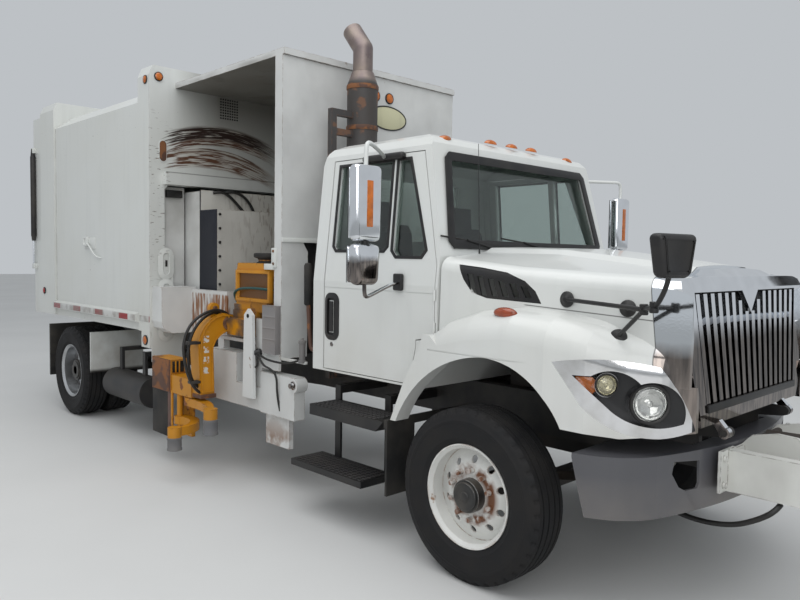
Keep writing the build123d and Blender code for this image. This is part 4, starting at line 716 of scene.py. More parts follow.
def plate(name, corners, finish, body, thickness, bevel=0.0):
    piece = sheet_of(name, corners, finish)
    thicken(piece, thickness, bevel)
    return settle(piece, body)


def gasket(name, corners, width, thickness, finish, body):
    """A closed strip along an outline, such as a window rubber."""
    piece = sheet_of(name, corners, finish)
    edit(piece, action="SELECT")
    bpy.ops.mesh.inset(thickness=width, use_boundary=True, use_even_offset=True)
    bpy.ops.mesh.delete(type="FACE")
    leave_edit()
    thicken(piece, thickness, thickness * 0.35)
    return settle(piece, body)


def block(name, corners, finish):
    """A plain block between two corners, to be shaped further."""
    low, high = [[end(a, b) for a, b in zip(*corners)] for end in (min, max)]
    piece = begin(name, "cube", finish, size=1, location=[(a + b) / 2 for a, b in zip(low, high)],
                  scale=[b - a for a, b in zip(low, high)])
    bpy.ops.object.transform_apply(location=True, scale=True)
    return piece


def boxed(name, corners, finish, body, bevel=0.004):
    """A bevelled block between two corners."""
    piece = block(name, corners, finish)
    use(piece, "BEVEL", width=bevel, segments=2)
    return settle(piece, body)


def sink(piece, look, rim, depth):
    """Sinks a panel into the face that looks one way, leaving a rim."""
    edit(piece)
    pick_facing(piece, look)
    bpy.ops.mesh.inset(thickness=rim)
    bpy.ops.mesh.inset(thickness=0.003, depth=-depth)
    leave_edit()


def tube(name, points, radius, finish, body):
    """A hose or rod along a smooth line that is held at both its ends."""
    line = bpy.data.curves.new(name, "CURVE")
    line.dimensions = "3D"
    spline = line.splines.new("NURBS")
    spline.points.add(len(points) - 1)
    for point, place in zip(spline.points, points):
        point.co = (*place, 1)
    spline.order_u = 3
    spline.use_endpoint_u = True
    line.bevel_depth = radius
    line.bevel_resolution = 3
    line.resolution_u = 6
    line.use_fill_caps = True
    piece = bpy.data.objects.new(name, line)
    bpy.context.scene.collection.objects.link(piece)
    line.materials.append(finish.material)
    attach(piece, body)


print("plates, blocks and hoses ready")

# %% [markdown]
# ## Amber, red and clear lamps
# A lamp lens is coloured plastic a few millimetres thick over a bright reflector. It could be
# modelled with its bulb inside, but a marker lamp is small, so a glossy plastic that lets a
# little light through, with fine moulded ribs as bump, reads the same.

# %% Lens plastics
def lens_plastic(name, color, transmission=0.25):
    """Glossy moulded plastic with fine ribs."""
    plastic = Finish(name, color, 0.12, coat=0.6, transmission=transmission)
    plastic.layer(plastic.noise(25, 0.3, 0.7), darker(color, 0.55))
    plastic.rough(plastic.noise(12, 0.4, 0.7), 0.08, 0.22)
    plastic.bump(plastic.wave(26.0), 0.0006, 0.5)
    return plastic


amber = lens_plastic("amber_lens", (0.82, 0.20, 0.008))
deep_amber = lens_plastic("deep_amber_lens", (0.50, 0.085, 0.02))
red_lens = lens_plastic("red_lens", (0.45, 0.012, 0.010))
clear_lens = lens_plastic("clear_lens", (0.86, 0.87, 0.84), 0.85)
warm_lens = lens_plastic("warm_lens", (0.85, 0.78, 0.52), 0.7)
print("lenses:", amber.material.name, red_lens.material.name)

# %% [markdown]
# ## Tyres with real grooves
# The frame's tyres are plain rings. A real one has ribs and grooves in the tread, notched
# shoulders and raised rings on its sidewalls. The grooves could be a bump, but the tread's
# edge is seen against the light, so the profile is drawn with its grooves and spun once, and
# each wheel gets a copy. The lettering that a tyre carries is left off.

# %% Draw the tyre profile
CROWN, SHOULDER = 0.508, 0.480
TREAD_HALF, SHOULDER_HALF = 0.106, 0.1235
TREAD_DROP = 0.004
GROOVE = [(-0.0065, 0), (-0.0045, 0.011), (0.0045, 0.011), (0.0065, 0)]
SIDEWALL = [(SHOULDER_HALF, SHOULDER), (0.132, 0.462), (0.1375, 0.44), (0.1395, 0.438),
            (0.1393, 0.425), (0.1375, 0.423), (0.1365, 0.39), (0.129, 0.35), (0.1285, 0.335),
            (0.1265, 0.333), (0.117, 0.312), (0.112, 0.306), (0.104, 0.288)]

tread = [(-TREAD_HALF, CROWN - TREAD_DROP)]
for middle in (-0.074, -0.026, 0.026, 0.074):
    top = CROWN - TREAD_DROP * (middle / TREAD_HALF) ** 2
    tread += [(middle + across, top - depth) for across, depth in GROOVE]
tread.append((TREAD_HALF, CROWN - TREAD_DROP))
tyre_profile = tread + SIDEWALL + [(-across, radius) for across, radius in reversed(SIDEWALL)]
print("tyre profile points:", len(tyre_profile))

# %% Spin the tyre and notch its shoulders
TYRE_STEPS = 120
first_tyre = lathe("front_tyre_right_grooved", tyre_profile, (0, 0, 0), Y, tyre,
                   "front_wheel_right", TYRE_STEPS, closed=True)


def shoulder_notch(centre, normal):
    """Every third face of the band between the tread and each sidewall."""
    step = int((atan2(centre.z, centre.x) + pi) / (2 * pi / TYRE_STEPS))
    band = TREAD_HALF < abs(centre.y) < SHOULDER_HALF and centre.xz.length > SHOULDER
    return band and step % 3 == 0


edit(first_tyre)
pick(first_tyre, shoulder_notch)
bpy.ops.mesh.inset(thickness=0.004, depth=-0.006, use_individual=True)
leave_edit()
print("tyre faces:", len(first_tyre.data.polygons))

# %% Put a tyre on every wheel
FRONT_Y, REAR_ROWS = 1.045, (1.075, 0.745)
front_left = copy_piece(first_tyre, "front_tyre_left_grooved", "front_wheel_left",
                        Matrix.Translation((FRONT_AXLE, FRONT_Y, AXLE_HEIGHT)))
for side, hand in SIDES:
    both = [copy_piece(first_tyre, f"tyre_{hand}_{row}", f"rear_wheels_{hand}",
                       Matrix.Translation((REAR_AXLE, side * y, AXLE_HEIGHT)))
            for row, y in enumerate(REAR_ROWS)]
    pair = merge(both, f"rear_tyres_{hand}_grooved", f"rear_wheels_{hand}")
    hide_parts(f"rear_tyres_{hand}")
first_tyre.data.transform(Matrix.Translation((FRONT_AXLE, -FRONT_Y, AXLE_HEIGHT)))
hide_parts("front_tyre_right")
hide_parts("front_tyre_left")
print("tyres: 6")

# %% [markdown]
# ## Hubs and wheel nuts
# The front wheel's hub is a black oil cap that stands out of the white disc, and its ten
# studs carry rusty nuts. The rear hub is a flange with a cover. A nut is a short six-sided
# cylinder whose outer corners are turned down, and ten of them are copies of the first.

# %% Nuts on their studs
nut_steel = worn("rusty_nut", (0.12, 0.055, 0.032), (0.20, 0.10, 0.05), 0.7, 0.48)
hub_black = dusty("hub_black", (0.014, 0.014, 0.014), 0.35, 0.25)
NUT_COUNT, NUT_LENGTH = 10, 0.030


def nut_ring(name, axle_x, face_y, side, body):
    """Ten nuts around a hub, seated against the wheel's dished disc."""
    first = begin(name, "cylinder", nut_steel, vertices=6, radius=0.0235, depth=NUT_LENGTH,
                  location=(STUD_CIRCLE, side * (face_y + NUT_LENGTH / 2), 0),
                  rotation=(pi / 2, 0, 0))
    edit(first)
    pick_facing(first, side * Y)
    bpy.ops.mesh.inset(thickness=0.0045)
    bpy.ops.transform.translate(value=(0, side * 0.004, 0))
    bpy.ops.mesh.inset(thickness=0.003)
    bpy.ops.mesh.extrude_region_move(TRANSFORM_OT_translate={"value": (0, side * 0.010, 0)})
    settle(first, body)
    ring = [first] + [copy_piece(first, f"{name}_{n}", body,
                                 Matrix.Rotation(n * 2 * pi / NUT_COUNT, 4, "Y"))
                      for n in range(1, NUT_COUNT)]
    merge(ring, name, body).data.transform(Matrix.Translation((axle_x, 0, AXLE_HEIGHT)))


for side, hand in SIDES:
    nut_ring(f"front_nuts_{hand}", FRONT_AXLE, 1.056, side, f"front_wheel_{hand}")
    nut_ring(f"rear_nuts_{hand}", REAR_AXLE, 0.930, side, f"rear_wheels_{hand}")
print("nuts:", 4 * NUT_COUNT)

# %% Hub covers
HUBS = (
    ("front", FRONT_AXLE, "front_wheel",
     [(1.058, 0.112), (1.066, 0.112), (1.07, 0.0975), (1.12, 0.0965), (1.158, 0.0965),
      (1.162, 0.0925), (1.1625, 0.083), (1.17, 0.0825), (1.1755, 0.078), (1.1765, 0.062),
      (1.1745, 0.058), (1.1745, 0.03), (1.179, 0.026), (1.181, 0.018), (1.181, 0)]),
    ("rear", REAR_AXLE, "rear_wheels",
     [(1.0, 0.117), (1.136, 0.117), (1.139, 0.113), (1.139, 0.098), (1.146, 0.097), (1.15, 0.092),
      (1.15, 0.05), (1.147, 0.047), (1.147, 0)]))
for side, hand in SIDES:
    for end, axle_x, wheels, cover in HUBS:
        lathe(f"{end}_hub_{hand}", [(side * y, radius) for y, radius in cover],
              (axle_x, 0, AXLE_HEIGHT), Y, hub_black, f"{wheels}_{hand}")
print("hub covers: 4")

# %% [markdown]
# ## Window rubbers, wipers and roof lamps
# Each pane sits in a black rubber strip. A strip is the pane's outline drawn as one flat face,
# whose border is inset and kept while the middle is deleted, and which then gets a thickness.
# The windshield leans back, so its outline is drawn straight onto the sloping plane.

# %% Windshield rubber
def on_screen(y, z, proud):
    """A point on the windshield's plane, a little proud of it."""
    slope = (2.605 - z) / (2.605 - 1.88)
    return Vector((2.09 + 0.16 * slope + proud, y, z))


SCREEN = [(-0.852, 1.926), (-0.895, 1.975), (-0.815, 2.515), (-0.77, 2.554), (0.77, 2.554),
          (0.815, 2.515), (0.895, 1.975), (0.852, 1.926)]
gasket("windshield_rubber", [on_screen(y, z, 0.007) for y, z in SCREEN], 0.060, 0.010,
       trim_black, "chassis")
print("windshield rubber ready")

# %% Door window rubbers
def on_door(x, z, side):
    """A point just proud of the door's upper wall, which leans in above the belt."""
    lean = max(0.0, z - 1.69) * 0.095 / 0.90
    return (x, side * (1.0 - lean + 0.005), z)


WINDOWS = (
    ("main", [(1.225, 1.895), (1.738, 1.895), (1.778, 1.935), (1.764, 2.525), (1.185, 2.525),
              (1.185, 1.935)]),
    ("vent", [(1.848, 1.858), (2.095, 1.858), (2.14, 1.913), (1.925, 2.525), (1.786, 2.525),
              (1.798, 1.908)]))
for side, hand in SIDES:
    for part, outline in WINDOWS:
        gasket(f"{part}_window_rubber_{hand}", [on_door(x, z, side) for x, z in outline[::-side]],
               0.022, 0.008, trim_black, f"{hand}_door")
print("door rubbers: 4")

# %% Wipers
for side, hand in SIDES:
    foot_y = side * 0.30
    pivot = on_screen(foot_y, 1.905, 0.022)
    tip = on_screen(foot_y - 0.42, 1.985, 0.020)
    tube(f"wiper_arm_{hand}", [pivot, pivot.lerp(tip, 0.5) + X * 0.012, tip], 0.006, trim_black,
         "chassis")
    low, high = on_screen(foot_y - 0.10, 1.955, 0.012), on_screen(foot_y - 0.66, 2.005, 0.012)
    tube(f"wiper_blade_{hand}", [low, low.lerp(high, 0.5), high], 0.0055, rubber, "chassis")
    lathe(f"wiper_pivot_{hand}", [(-0.02, 0.02), (0.004, 0.02), (0.01, 0.014), (0.012, 0)], pivot,
          (0.976, 0, 0.218), trim_black, "chassis", 20)
print("wipers ready")

# %% Roof marker lamps
ROOF_LAMP_Y = (-0.72, -0.24, 0.0, 0.24, 0.72)


def dome(name, finish, cut, half_sizes):
    """A ball cut off at a height and stretched to its three half sizes."""
    piece = begin(name, "uv_sphere", finish, segments=24, ring_count=12, radius=1.0)
    edit(piece, action="SELECT")
    bpy.ops.mesh.bisect(plane_co=(0, 0, cut), plane_no=(0, 0, 1), use_fill=True, clear_inner=True)
    bpy.ops.mesh.select_all(action="SELECT")
    bpy.ops.transform.resize(value=half_sizes, center_override=(0, 0, 0))
    leave_edit()
    return piece


def on_roof(y):
    """A lamp's place on the crowned roof; the outer ones sit lower and lean outwards."""
    outer = (y > 0.5) - (y < -0.5)
    return (Matrix.Translation((2.025, y, 2.672 - 0.028 * abs(outer)))
            @ Matrix.Rotation(radians(14), 4, "Y") @ Matrix.Rotation(radians(-9 * outer), 4, "X"))


roof_lamp = dome("roof_lamp_1", amber, 0.05, (0.036, 0.058, 0.030))
ease(roof_lamp, 0.002)
settle(roof_lamp, "chassis")
for n, y in enumerate(ROOF_LAMP_Y[1:], 2):
    copy_piece(roof_lamp, f"roof_lamp_{n}", "chassis", on_roof(y))
roof_lamp.data.transform(on_roof(ROOF_LAMP_Y[0]))
print("roof lamps:", len(ROOF_LAMP_Y))

# %% Antenna
lathe("antenna", [(0, 0.018), (0.03, 0.017), (0.04, 0.007), (0.12, 0.006), (0.13, 0.0028),
                  (0.8, 0.0018), (0.805, 0)], (2.30, -0.66, 1.80), (-0.04, 0, 1), trim_black,
      "tilt_hood", 12)
print("antenna ready")

# %% [markdown]
# ## Headlamps
# The frame has the pod with its sunk floor and two bowls. The pod's rim is chrome and its
# floor dark, so one finish changes by depth behind the nose's plane. Into each bowl go a
# bright reflector and a domed lens, both spun, and an amber wedge sits in the outer corner.

# %% Chrome rim and dark floor of the pods
NOSE_START = Vector((3.17, -1.10, 0))
NOSE_ALONG, NOSE_OUT = Vector((2, 1, 0)).normalized(), Vector((1, -2, 0)).normalized()
FLOOR_DEPTH = -0.012
pod = Finish("lamp_pod", (0.80, 0.80, 0.81), 0.1, metallic=1.0)
right_side = pod.node("CombineXYZ", {0: pod.x, 1: abs(pod.y) * -1.0, 2: pod.z})
depth = pod.node("VectorMath", {0: right_side, 1: tuple(NOSE_OUT)}, "Value",
                 operation="DOT_PRODUCT") - NOSE_START.dot(NOSE_OUT)
sunk = pod.ramp(depth, FLOOR_DEPTH + 0.0015, FLOOR_DEPTH + 0.0005)
pod.layer(pod.noise(8, 0.4, 0.8), (0.55, 0.54, 0.52))
pod.layer(sunk, (0.012, 0.012, 0.013))
pod.set("Metallic", 1.0 - sunk)
pod.rough(sunk | pod.noise(9, 0.4, 0.8) * 0.3, 0.07, 0.4)
pod.bump(pod.noise(120, 0.3, 0.7), 0.0002, 0.2)
nodes["headlamps"].data.materials[0] = pod.material
print("pod finish ready")

# %% Reflectors, lenses and the amber wedge
LAMP_LOOK = Vector((1, -0.9, 0)).normalized()
BOWL = ((0.024, 1.0), (0.018, 0.93), (0.008, 0.72), (0.002, 0.45), (0, 0.22), (0.014, 0.20),
        (0.018, 0.12), (0.019, 0))
LENS = ((0.022, 0.99), (0.027, 0.985), (0.033, 0.90), (0.039, 0.70), (0.043, 0.42), (0.0445, 0))
RING = ((0.02, 1.0), (0.033, 1.0), (0.036, 1.05), (0.036, 1.14), (0.028, 1.17), (0.02, 1.17))
bright = polished("reflector", (0.93, 0.93, 0.92), 0.03, 0.10, 0.05)


def sized(outline, radius):
    """A profile whose radii are shares of one radius."""
    return [(step, radius * share) for step, share in outline]


def on_nose(along, height, out=0.0):
    return NOSE_START + NOSE_ALONG * along + Z * height + NOSE_OUT * out


for label, along, height, radius, lens in (("high", 0.471, 1.161, 0.0875, clear_lens),
                                           ("low", 0.262, 1.241, 0.0515, warm_lens)):
    for part, outline, finish in (("reflector", BOWL, bright), ("lens", LENS, lens),
                                  ("ring", RING, trim_black)):
        mirror_on_hood(lathe(f"{label}_{part}_right", sized(outline, radius),
                             on_nose(along, height) + LAMP_LOOK * 0.009, LAMP_LOOK, finish,
                             "tilt_hood", closed=outline is RING))
WEDGE = [(0.112, 1.272), (0.196, 1.18), (0.215, 1.196), (0.205, 1.272)]
mirror_on_hood(plate("amber_wedge_right", [on_nose(along, z, 0.006) for along, z in WEDGE], amber,
                     "tilt_hood", 0.016, 0.003))
print("lamp pieces: 14")

# %% [markdown]
# ## Behind the grille and on the hood
# Between the chrome bars the real nose is dark, with a fine insect screen. A flat sheet with
# a woven bump closes it. Amber lamps sit on the fenders' shoulders, and each mirror rod ends
# in a round rubber foot.

# %% Insect screen behind the bars
screen_mesh = Finish("insect_screen", (0.004, 0.004, 0.004), 0.6)
weave = screen_mesh.wave(42.0, "Y") * screen_mesh.wave(42.0, "Z")
screen_mesh.layer(weave, (0.035, 0.034, 0.033))
screen_mesh.rough(screen_mesh.noise(8), 0.5, 0.8)
screen_mesh.bump(weave, 0.001, 0.6)


def behind_grille(corners, depth):
    """Corners behind the sloping grille opening."""
    return [(3.785 - 0.051 * (z - 1.10) / 0.63 - depth, y, z) for y, z in corners]


plate("grille_screen", behind_grille([(-0.655, 1.085), (-0.745, 1.735), (0.745, 1.735),
                                      (0.655, 1.085)], 0.052), screen_mesh, "tilt_hood", 0.006)
plate("grille_sill_strip", behind_grille([(-0.628, 1.102), (-0.633, 1.142), (0.633, 1.142),
                                          (0.628, 1.102)], 0.004), trim_black, "tilt_hood", 0.016,
      0.003)
print("grille backing ready")

# %% Fender marker lamps and mirror feet
marker = settle(dome("fender_lamp_right", deep_amber, 0, (0.080, 0.032, 0.034)), "tilt_hood")
marker.data.transform(Matrix.Translation((2.82, -1.055, 1.566))
                      @ Matrix.Rotation(radians(38), 4, "X"))
mirror_on_hood(marker)
MIRROR_FEET = (((3.13, -0.919, 1.655), (-0.1, -1, 0.03)), ((3.47, -0.887, 1.626), (0.1, -1, 0.03)),
               ((3.45, -0.940, 1.480), (0.35, -0.75, 0.55)))
for n, (foot, look) in enumerate(MIRROR_FEET, 1):
    mirror_on_hood(lathe(f"mirror_foot_{n}_right",
                         [(0, 0.044), (0.008, 0.044), (0.014, 0.038), (0.018, 0.022), (0.024, 0.016),
                          (0.03, 0)], foot, look, trim_black, "tilt_hood", 28))
print("fender lamps and mirror feet ready")

# %% [markdown]
# ## Mirrors
# The door mirrors are chrome boxes with a glass in the rear face and an amber side lamp on
# the front. The glass is a bright, nearly black-edged plate: a metal with very low roughness,
# set in a rubber lip. The frame's mirrors are plain boxes on straight rods. The real shells
# are pressed with round shoulders and drawn in at the foot, so each node is replaced by
# shells of the same size. A wide bevel on a block gives the pillow shape at once, and a
# spline gives the bent arms.

# %% Mirror glasses and side lamps
mirror_glass = polished("mirror_glass", (0.88, 0.90, 0.91), 0.01, 0.05, 0.08)
for side, hand in SIDES:
    body = f"{hand}_door"
    for label, x, low, high in (("tall", 2.048, 1.975, 2.385), ("small", 2.038, 1.715, 1.930)):
        inner, outer = side * 1.370, side * 1.550
        corners = [(x, inner, low), (x, inner, high), (x, outer, high), (x, outer, low)][::-side]
        plate(f"{label}_mirror_glass_{hand}", corners, mirror_glass, body, 0.003, 0.001)
        gasket(f"{label}_mirror_lip_{hand}", [(x - 0.004, y, z) for x, y, z in corners],
               0.012, 0.006, trim_black, body)
    boxed(f"mirror_side_lamp_{hand}", on_side([(2.129, 1.438, 2.04), (2.137, 1.482, 2.31)], side),
          amber, body, 0.003)
print("mirrors ready")

# %% Door mirrors in full
def shell(name, corners, finish, body, round_edge, pinch=1.0):
    """A rounded shell between two corners, drawn in at its foot by the pinch."""
    piece = block(name, corners, finish)
    edit(piece)
    pick_facing(piece, -Z)
    bpy.ops.transform.resize(value=(1, pinch, 1))
    bpy.ops.mesh.select_all(action="SELECT")
    bpy.ops.mesh.bevel(offset=round_edge, segments=6, affect="EDGES")
    return settle(piece, body, 50)


for side, hand in SIDES:
    body = f"{hand}_door"
    tall = shell(f"door_mirror_tall_{hand}",
                 on_side([(2.048, 1.3555, 1.958), (2.132, 1.5645, 2.402)], side), mirror_chrome,
                 body, 0.032, 0.96)
    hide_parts(f"door_mirror_{hand}")
    shell(f"door_mirror_small_{hand}", on_side([(2.038, 1.356, 1.7), (2.132, 1.564, 1.944)], side),
          mirror_chrome, body, 0.040, 0.86)
    lathe(f"mirror_neck_{hand}", [(-0.022, 0), (-0.02, 0.034), (-0.008, 0.024), (0.008, 0.024),
                                  (0.02, 0.034), (0.022, 0)], (2.09, side * 1.46, 1.951), Z,
          trim_black, body, 20)
    tube(f"mirror_upper_arm_{hand}",
         on_side([(2.09, 1.46, 2.385), (2.09, 1.46, 2.46), (2.09, 1.454, 2.533), (2.06, 1.39, 2.537),
                  (1.83, 1.1, 2.537), (1.69, 0.945, 2.535)], side), 0.0135, cab_white, body)
    tube(f"mirror_lower_arm_{hand}",
         on_side([(2.09, 1.46, 1.715), (2.09, 1.46, 1.66), (2.09, 1.45, 1.628), (2.06, 1.38, 1.638),
                  (1.96, 1.11, 1.7), (1.915, 1.01, 1.705)], side), 0.0125, mirror_chrome, body)
    shell(f"mirror_upper_bracket_{hand}",
          on_side([(1.47, 0.905, 2.512), (1.87, 0.958, 2.56)], side), trim_black, body, 0.022)
    shell(f"mirror_lower_bracket_{hand}",
          on_side([(1.875, 0.999, 1.651), (1.955, 1.03, 1.762)], side), trim_black, body, 0.012)
print("door mirrors ready")

# %% Door locks and handles
for side, hand in SIDES:
    body = f"{hand}_door"
    lathe(f"door_lock_{hand}", [(0, 0), (0, 0.017), (0.004, 0.015), (0.005, 0)],
          (1.220, side * 1.0, 1.235), side * Y, chrome, body, 20)
    recess = on_side([(1.166, 1.008, 1.29), (1.166, 1.008, 1.58), (1.276, 1.008, 1.58),
                      (1.276, 1.008, 1.29)], side)
    handle = sheet_of(f"door_handle_{hand}", recess[::side], trim_black)
    edit(handle, "VERT", "SELECT")
    bpy.ops.mesh.bevel(offset=0.036, segments=5, affect="VERTICES")
    leave_edit()
    thicken(handle, 0.016, 0.004)
    sink(handle, side * Y, 0.014, 0.006)
    settle(handle, body)
    shell(f"door_grip_{hand}", on_side([(1.203, 1.0, 1.325), (1.24, 1.014, 1.545)], side),
          trim_black, body, 0.006)
print("door handles ready")

# %% Hood mirrors in full
MIRROR_JOINT, MIRROR_ELBOW = Vector((3.66, -1.09, 1.64)), Vector((3.76, -1.19, 1.66))
head = shell("hood_mirror_right", [(-0.038, -0.129, -0.097), (0.038, 0.129, 0.093)], trim_black,
             "tilt_hood", 0.028, 0.68)
sink(head, X, 0.014, 0.003)
settle(head, "tilt_hood", 50)
head.data.transform(Matrix.Translation((3.885, -1.29, 1.893))
                    @ Matrix.Rotation(radians(-12), 4, "Z"))
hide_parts("hood_mirrors")
mirror_on_hood(head)
rods = [[Vector(foot) + Vector(look).normalized() * 0.014, Vector(foot).lerp(MIRROR_JOINT, 0.5),
         MIRROR_JOINT] for foot, look in MIRROR_FEET]
rods.append([MIRROR_JOINT, MIRROR_ELBOW, (3.8, -1.225, 1.685), (3.862, -1.268, 1.78),
             (3.878, -1.285, 1.86)])
for n, line in enumerate(rods, 1):
    for side, hand in SIDES:
        tube(f"mirror_rod_{n}_{hand}", [(x, -side * y, z) for x, y, z in line], 0.0115,
             trim_black, "tilt_hood")
CLAMP = [(-0.026, 0), (-0.026, 0.018), (-0.022, 0.021), (-0.004, 0.021), (-0.002, 0.018),
         (0.002, 0.018), (0.004, 0.021), (0.022, 0.021), (0.026, 0.018), (0.026, 0)]
for n, place in enumerate((MIRROR_JOINT, MIRROR_ELBOW), 1):
    mirror_on_hood(lathe(f"mirror_clamp_{n}_right", CLAMP, place, Z, trim_black, "tilt_hood", 24))
print("hood mirrors ready")

# %% [markdown]
# ## The hoop behind the hopper
# The body's front hoop carries amber marker lamps at its top corners, a punched vent, an
# oval lifting slot, and three pressed pads low on the post. The vent's holes are the same
# small disc over and over, so one disc is modelled and two Array modifiers repeat it.

# %% Round marker lamps
LAMP_RING = ((-0.004, 1.18), (0.009, 1.18), (0.012, 1.12), (0.012, 1.0), (0.004, 0.98))
LAMP_LENS = ((0.002, 0.99), (0.012, 0.96), (0.017, 0.75), (0.02, 0.4), (0.021, 0))


def round_lamp(name, place, look, radius, lens, body):
    """A rubber-ringed round lamp: a spun ring with a domed lens."""
    lathe(name, sized(LAMP_RING, radius), place, look, rubber, body, 32)
    lathe(name + "_lens", sized(LAMP_LENS, radius), place, look, lens, body, 32)


for side, hand in SIDES:
    for name, x, y, z, look, radius in (("hoop_front_lamp", HOOP_X, 1.150, 3.50, X, 0.036),
                                        ("hoop_side_lamp", -1.255, 1.238, 3.470, side * Y, 0.034),
                                        ("post_lamp", -1.27, 1.24, 1.05, side * Y, 0.040)):
        round_lamp(f"{name}_{hand}", (x, side * y, z), look, radius, amber, "refuse_body")
for n, y in enumerate((-0.013, 0.147), 1):
    round_lamp(f"bulkhead_lamp_{n}", (0.56, y, 3.257), X, 0.040, amber, "refuse_body")
print("round lamps: 8")

# %% Vent holes
HOLE_PITCH = 0.0262
# Near black: painted shade for the dark inside of the vent holes, the end plate's hole and the
# gripper's window.
hole_dark = Finish("hole_dark", (0.004, 0.004, 0.004), 0.9)
hole_dark.layer(hole_dark.noise(30), (0.02, 0.018, 0.016))
hole_dark.bump(hole_dark.noise(80), 0.0005)
hole = begin("vent_holes", "cylinder", hole_dark, vertices=12, radius=0.0088, depth=0.004,
             location=(HOOP_X, -0.499, 3.215), rotation=(0, pi / 2, 0))
edit(hole)
pick_facing(hole, X)
bpy.ops.mesh.inset(thickness=0.002, depth=-0.0012)
leave_edit()
bpy.ops.object.transform_apply(location=True, rotation=True)
for direction in (Y, Z):
    repeat(hole, 8, direction * HOLE_PITCH)
settle(hole, "refuse_body")
print("vent holes: 64")

# %% Lifting slot and pads on the post
def capsule(y, low, high, half, x):
    """Corners of an upright capsule on a wall that faces ahead."""
    bow = [(cos(a) * half, sin(a) * half) for a in (i * pi / 8 for i in range(9))]
    return ([(x, y + c, high - half + s) for c, s in bow]
            + [(x, y - c, low + half - s) for c, s in bow])


plate("lifting_slot_floor", capsule(-1.106, 2.728, 2.918, 0.034, HOOP_X + 0.002), brown_steel,
      "refuse_body", 0.004)
gasket("lifting_slot_rim", capsule(-1.106, 2.720, 2.926, 0.042, HOOP_X + 0.006), 0.008, 0.008,
       body_white, "refuse_body")
for n, low in enumerate((1.07, 1.365, 1.655), 1):
    pad = sheet_of(f"post_pad_{n}", capsule(-1.085, low, low + 0.235, 0.046, HOOP_X + 0.014),
                   body_white)
    thicken(pad, 0.016, 0.004, 3)
    sink(pad, X, 0.016, 0.005)
    settle(pad, "refuse_body")
    boxed(f"post_pad_tab_{n}", ((HOOP_X + 0.006, -1.092, low + 0.09),
                                (HOOP_X + 0.013, -1.070, low + 0.15)), trim_black, "refuse_body",
          0.001)
print("slot and pads ready")

# %% [markdown]
# ## Reflective strip, side latch and tailgate
# A strip of red and white tape runs along the ledge. It is one thin bar whose colour changes
# with its place along the truck, so its blocks cannot drift. The tailgate is locked by a
# black hydraulic cylinder at each rear corner, and its lamps sit in rubber rings.

# %% Reflective strip
TAPE_PITCH = 0.60
tape = Finish("reflective_tape", (0.56, 0.56, 0.54), 0.3, coat=0.4)
tape_step = tape.math("FRACT", tape.x * (1 / TAPE_PITCH) + 20.0)
tape.layer(tape.ramp(tape_step, 0.345, 0.335), (0.27, 0.012, 0.016))
tape.layer(tape.noise(9, 0.42, 0.62, detail=9) * 0.6, (0.20, 0.17, 0.14))
facets = tape.node("TexVoronoi", {"Vector": tape.place, "Scale": 260.0}, "Distance")
tape.rough(facets, 0.25, 0.5)
tape.bump(facets, 0.0004, 0.4)
for side, hand in SIDES:
    boxed(f"ledge_tape_{hand}", on_side([(-3.63, 1.269, 1.222), (-1.44, 1.2725, 1.278)], side), tape,
          "refuse_body", 0.0008)
    boxed(f"hoop_tape_{hand}", on_side([(-1.4, 1.2385, 1.222), (-1.19, 1.242, 1.278)], side), tape,
          "refuse_body", 0.0008)
print("tape ready")

# %% Side latch and tailgate cylinders
for side, hand in SIDES:
    boxed(f"side_latch_plate_{hand}", on_side([(-2.77, 1.216, 1.905), (-2.5, 1.228, 2.025)], side),
          body_white, "refuse_body", 0.003)
    case = block(f"side_latch_case_{hand}",
                 on_side([(-2.745, 1.22, 1.935), (-2.655, 1.26, 2.035)], side), body_white)
    sink(case, side * Y, 0.016, 0.016)
    ease(case, 0.003)
    settle(case, "refuse_body")
    tube(f"side_latch_handle_{hand}",
         on_side([(-2.66, 1.248, 1.965), (-2.58, 1.254, 1.935), (-2.48, 1.254, 1.86),
                  (-2.4, 1.246, 1.815), (-2.33, 1.218, 1.81)], side), 0.009, body_white,
         "refuse_body")
    lathe(f"tail_cylinder_{hand}", [(0, 0), (0, 0.02), (0.03, 0.026), (0.05, 0.026), (0.06, 0.031),
                                    (1.02, 0.031), (1.04, 0.026), (1.06, 0.024), (1.12, 0.018),
                                    (1.14, 0)], (-4.33, side * 1.253, 2.0), Z, frame_black,
          "rear_door", 24)
    lathe(f"tail_rod_{hand}", [(0, 0), (0, 0.014), (0.34, 0.014), (0.34, 0)],
          (-4.33, side * 1.253, 1.67), Z, chrome, "rear_door", 20)
    for z in (1.69, 3.10):
        boxed(f"tail_lug_{hand}_{int(z * 10)}", ((-4.368, side * 1.214, z - 0.032),
                                                 (-4.292, side * 1.266, z + 0.032)),
              body_white, "rear_door", 0.006)
print("latches and cylinders ready")

# %% Lamps and plate on the tailgate
TAIL_X = -4.40
for side, hand in SIDES:
    for n, (y, lens) in enumerate(((1.09, red_lens), (0.95, red_lens), (0.81, clear_lens)), 1):
        round_lamp(f"tail_lamp_{hand}_{n}", (TAIL_X, side * y, 1.26), -X, 0.050, lens, "rear_door")
    round_lamp(f"tail_top_lamp_{hand}", (TAIL_X, side * 1.10, 3.36), -X, 0.034, red_lens,
               "rear_door")
    round_lamp(f"rear_side_lamp_{hand}", (-4.00, side * 1.24, 1.40), side * Y, 0.034, red_lens,
               "refuse_body")
for n, y in enumerate((-0.17, 0.0, 0.17), 1):
    round_lamp(f"tail_middle_lamp_{n}", (TAIL_X, y, 3.36), -X, 0.030, red_lens, "rear_door")
number_plate = block("bare_plate", [(-4.406, -0.16, 1.18), (-4.398, 0.16, 1.34)], rim_silver)
sink(number_plate, -X, 0.008, 0.002)
settle(number_plate, "rear_door")
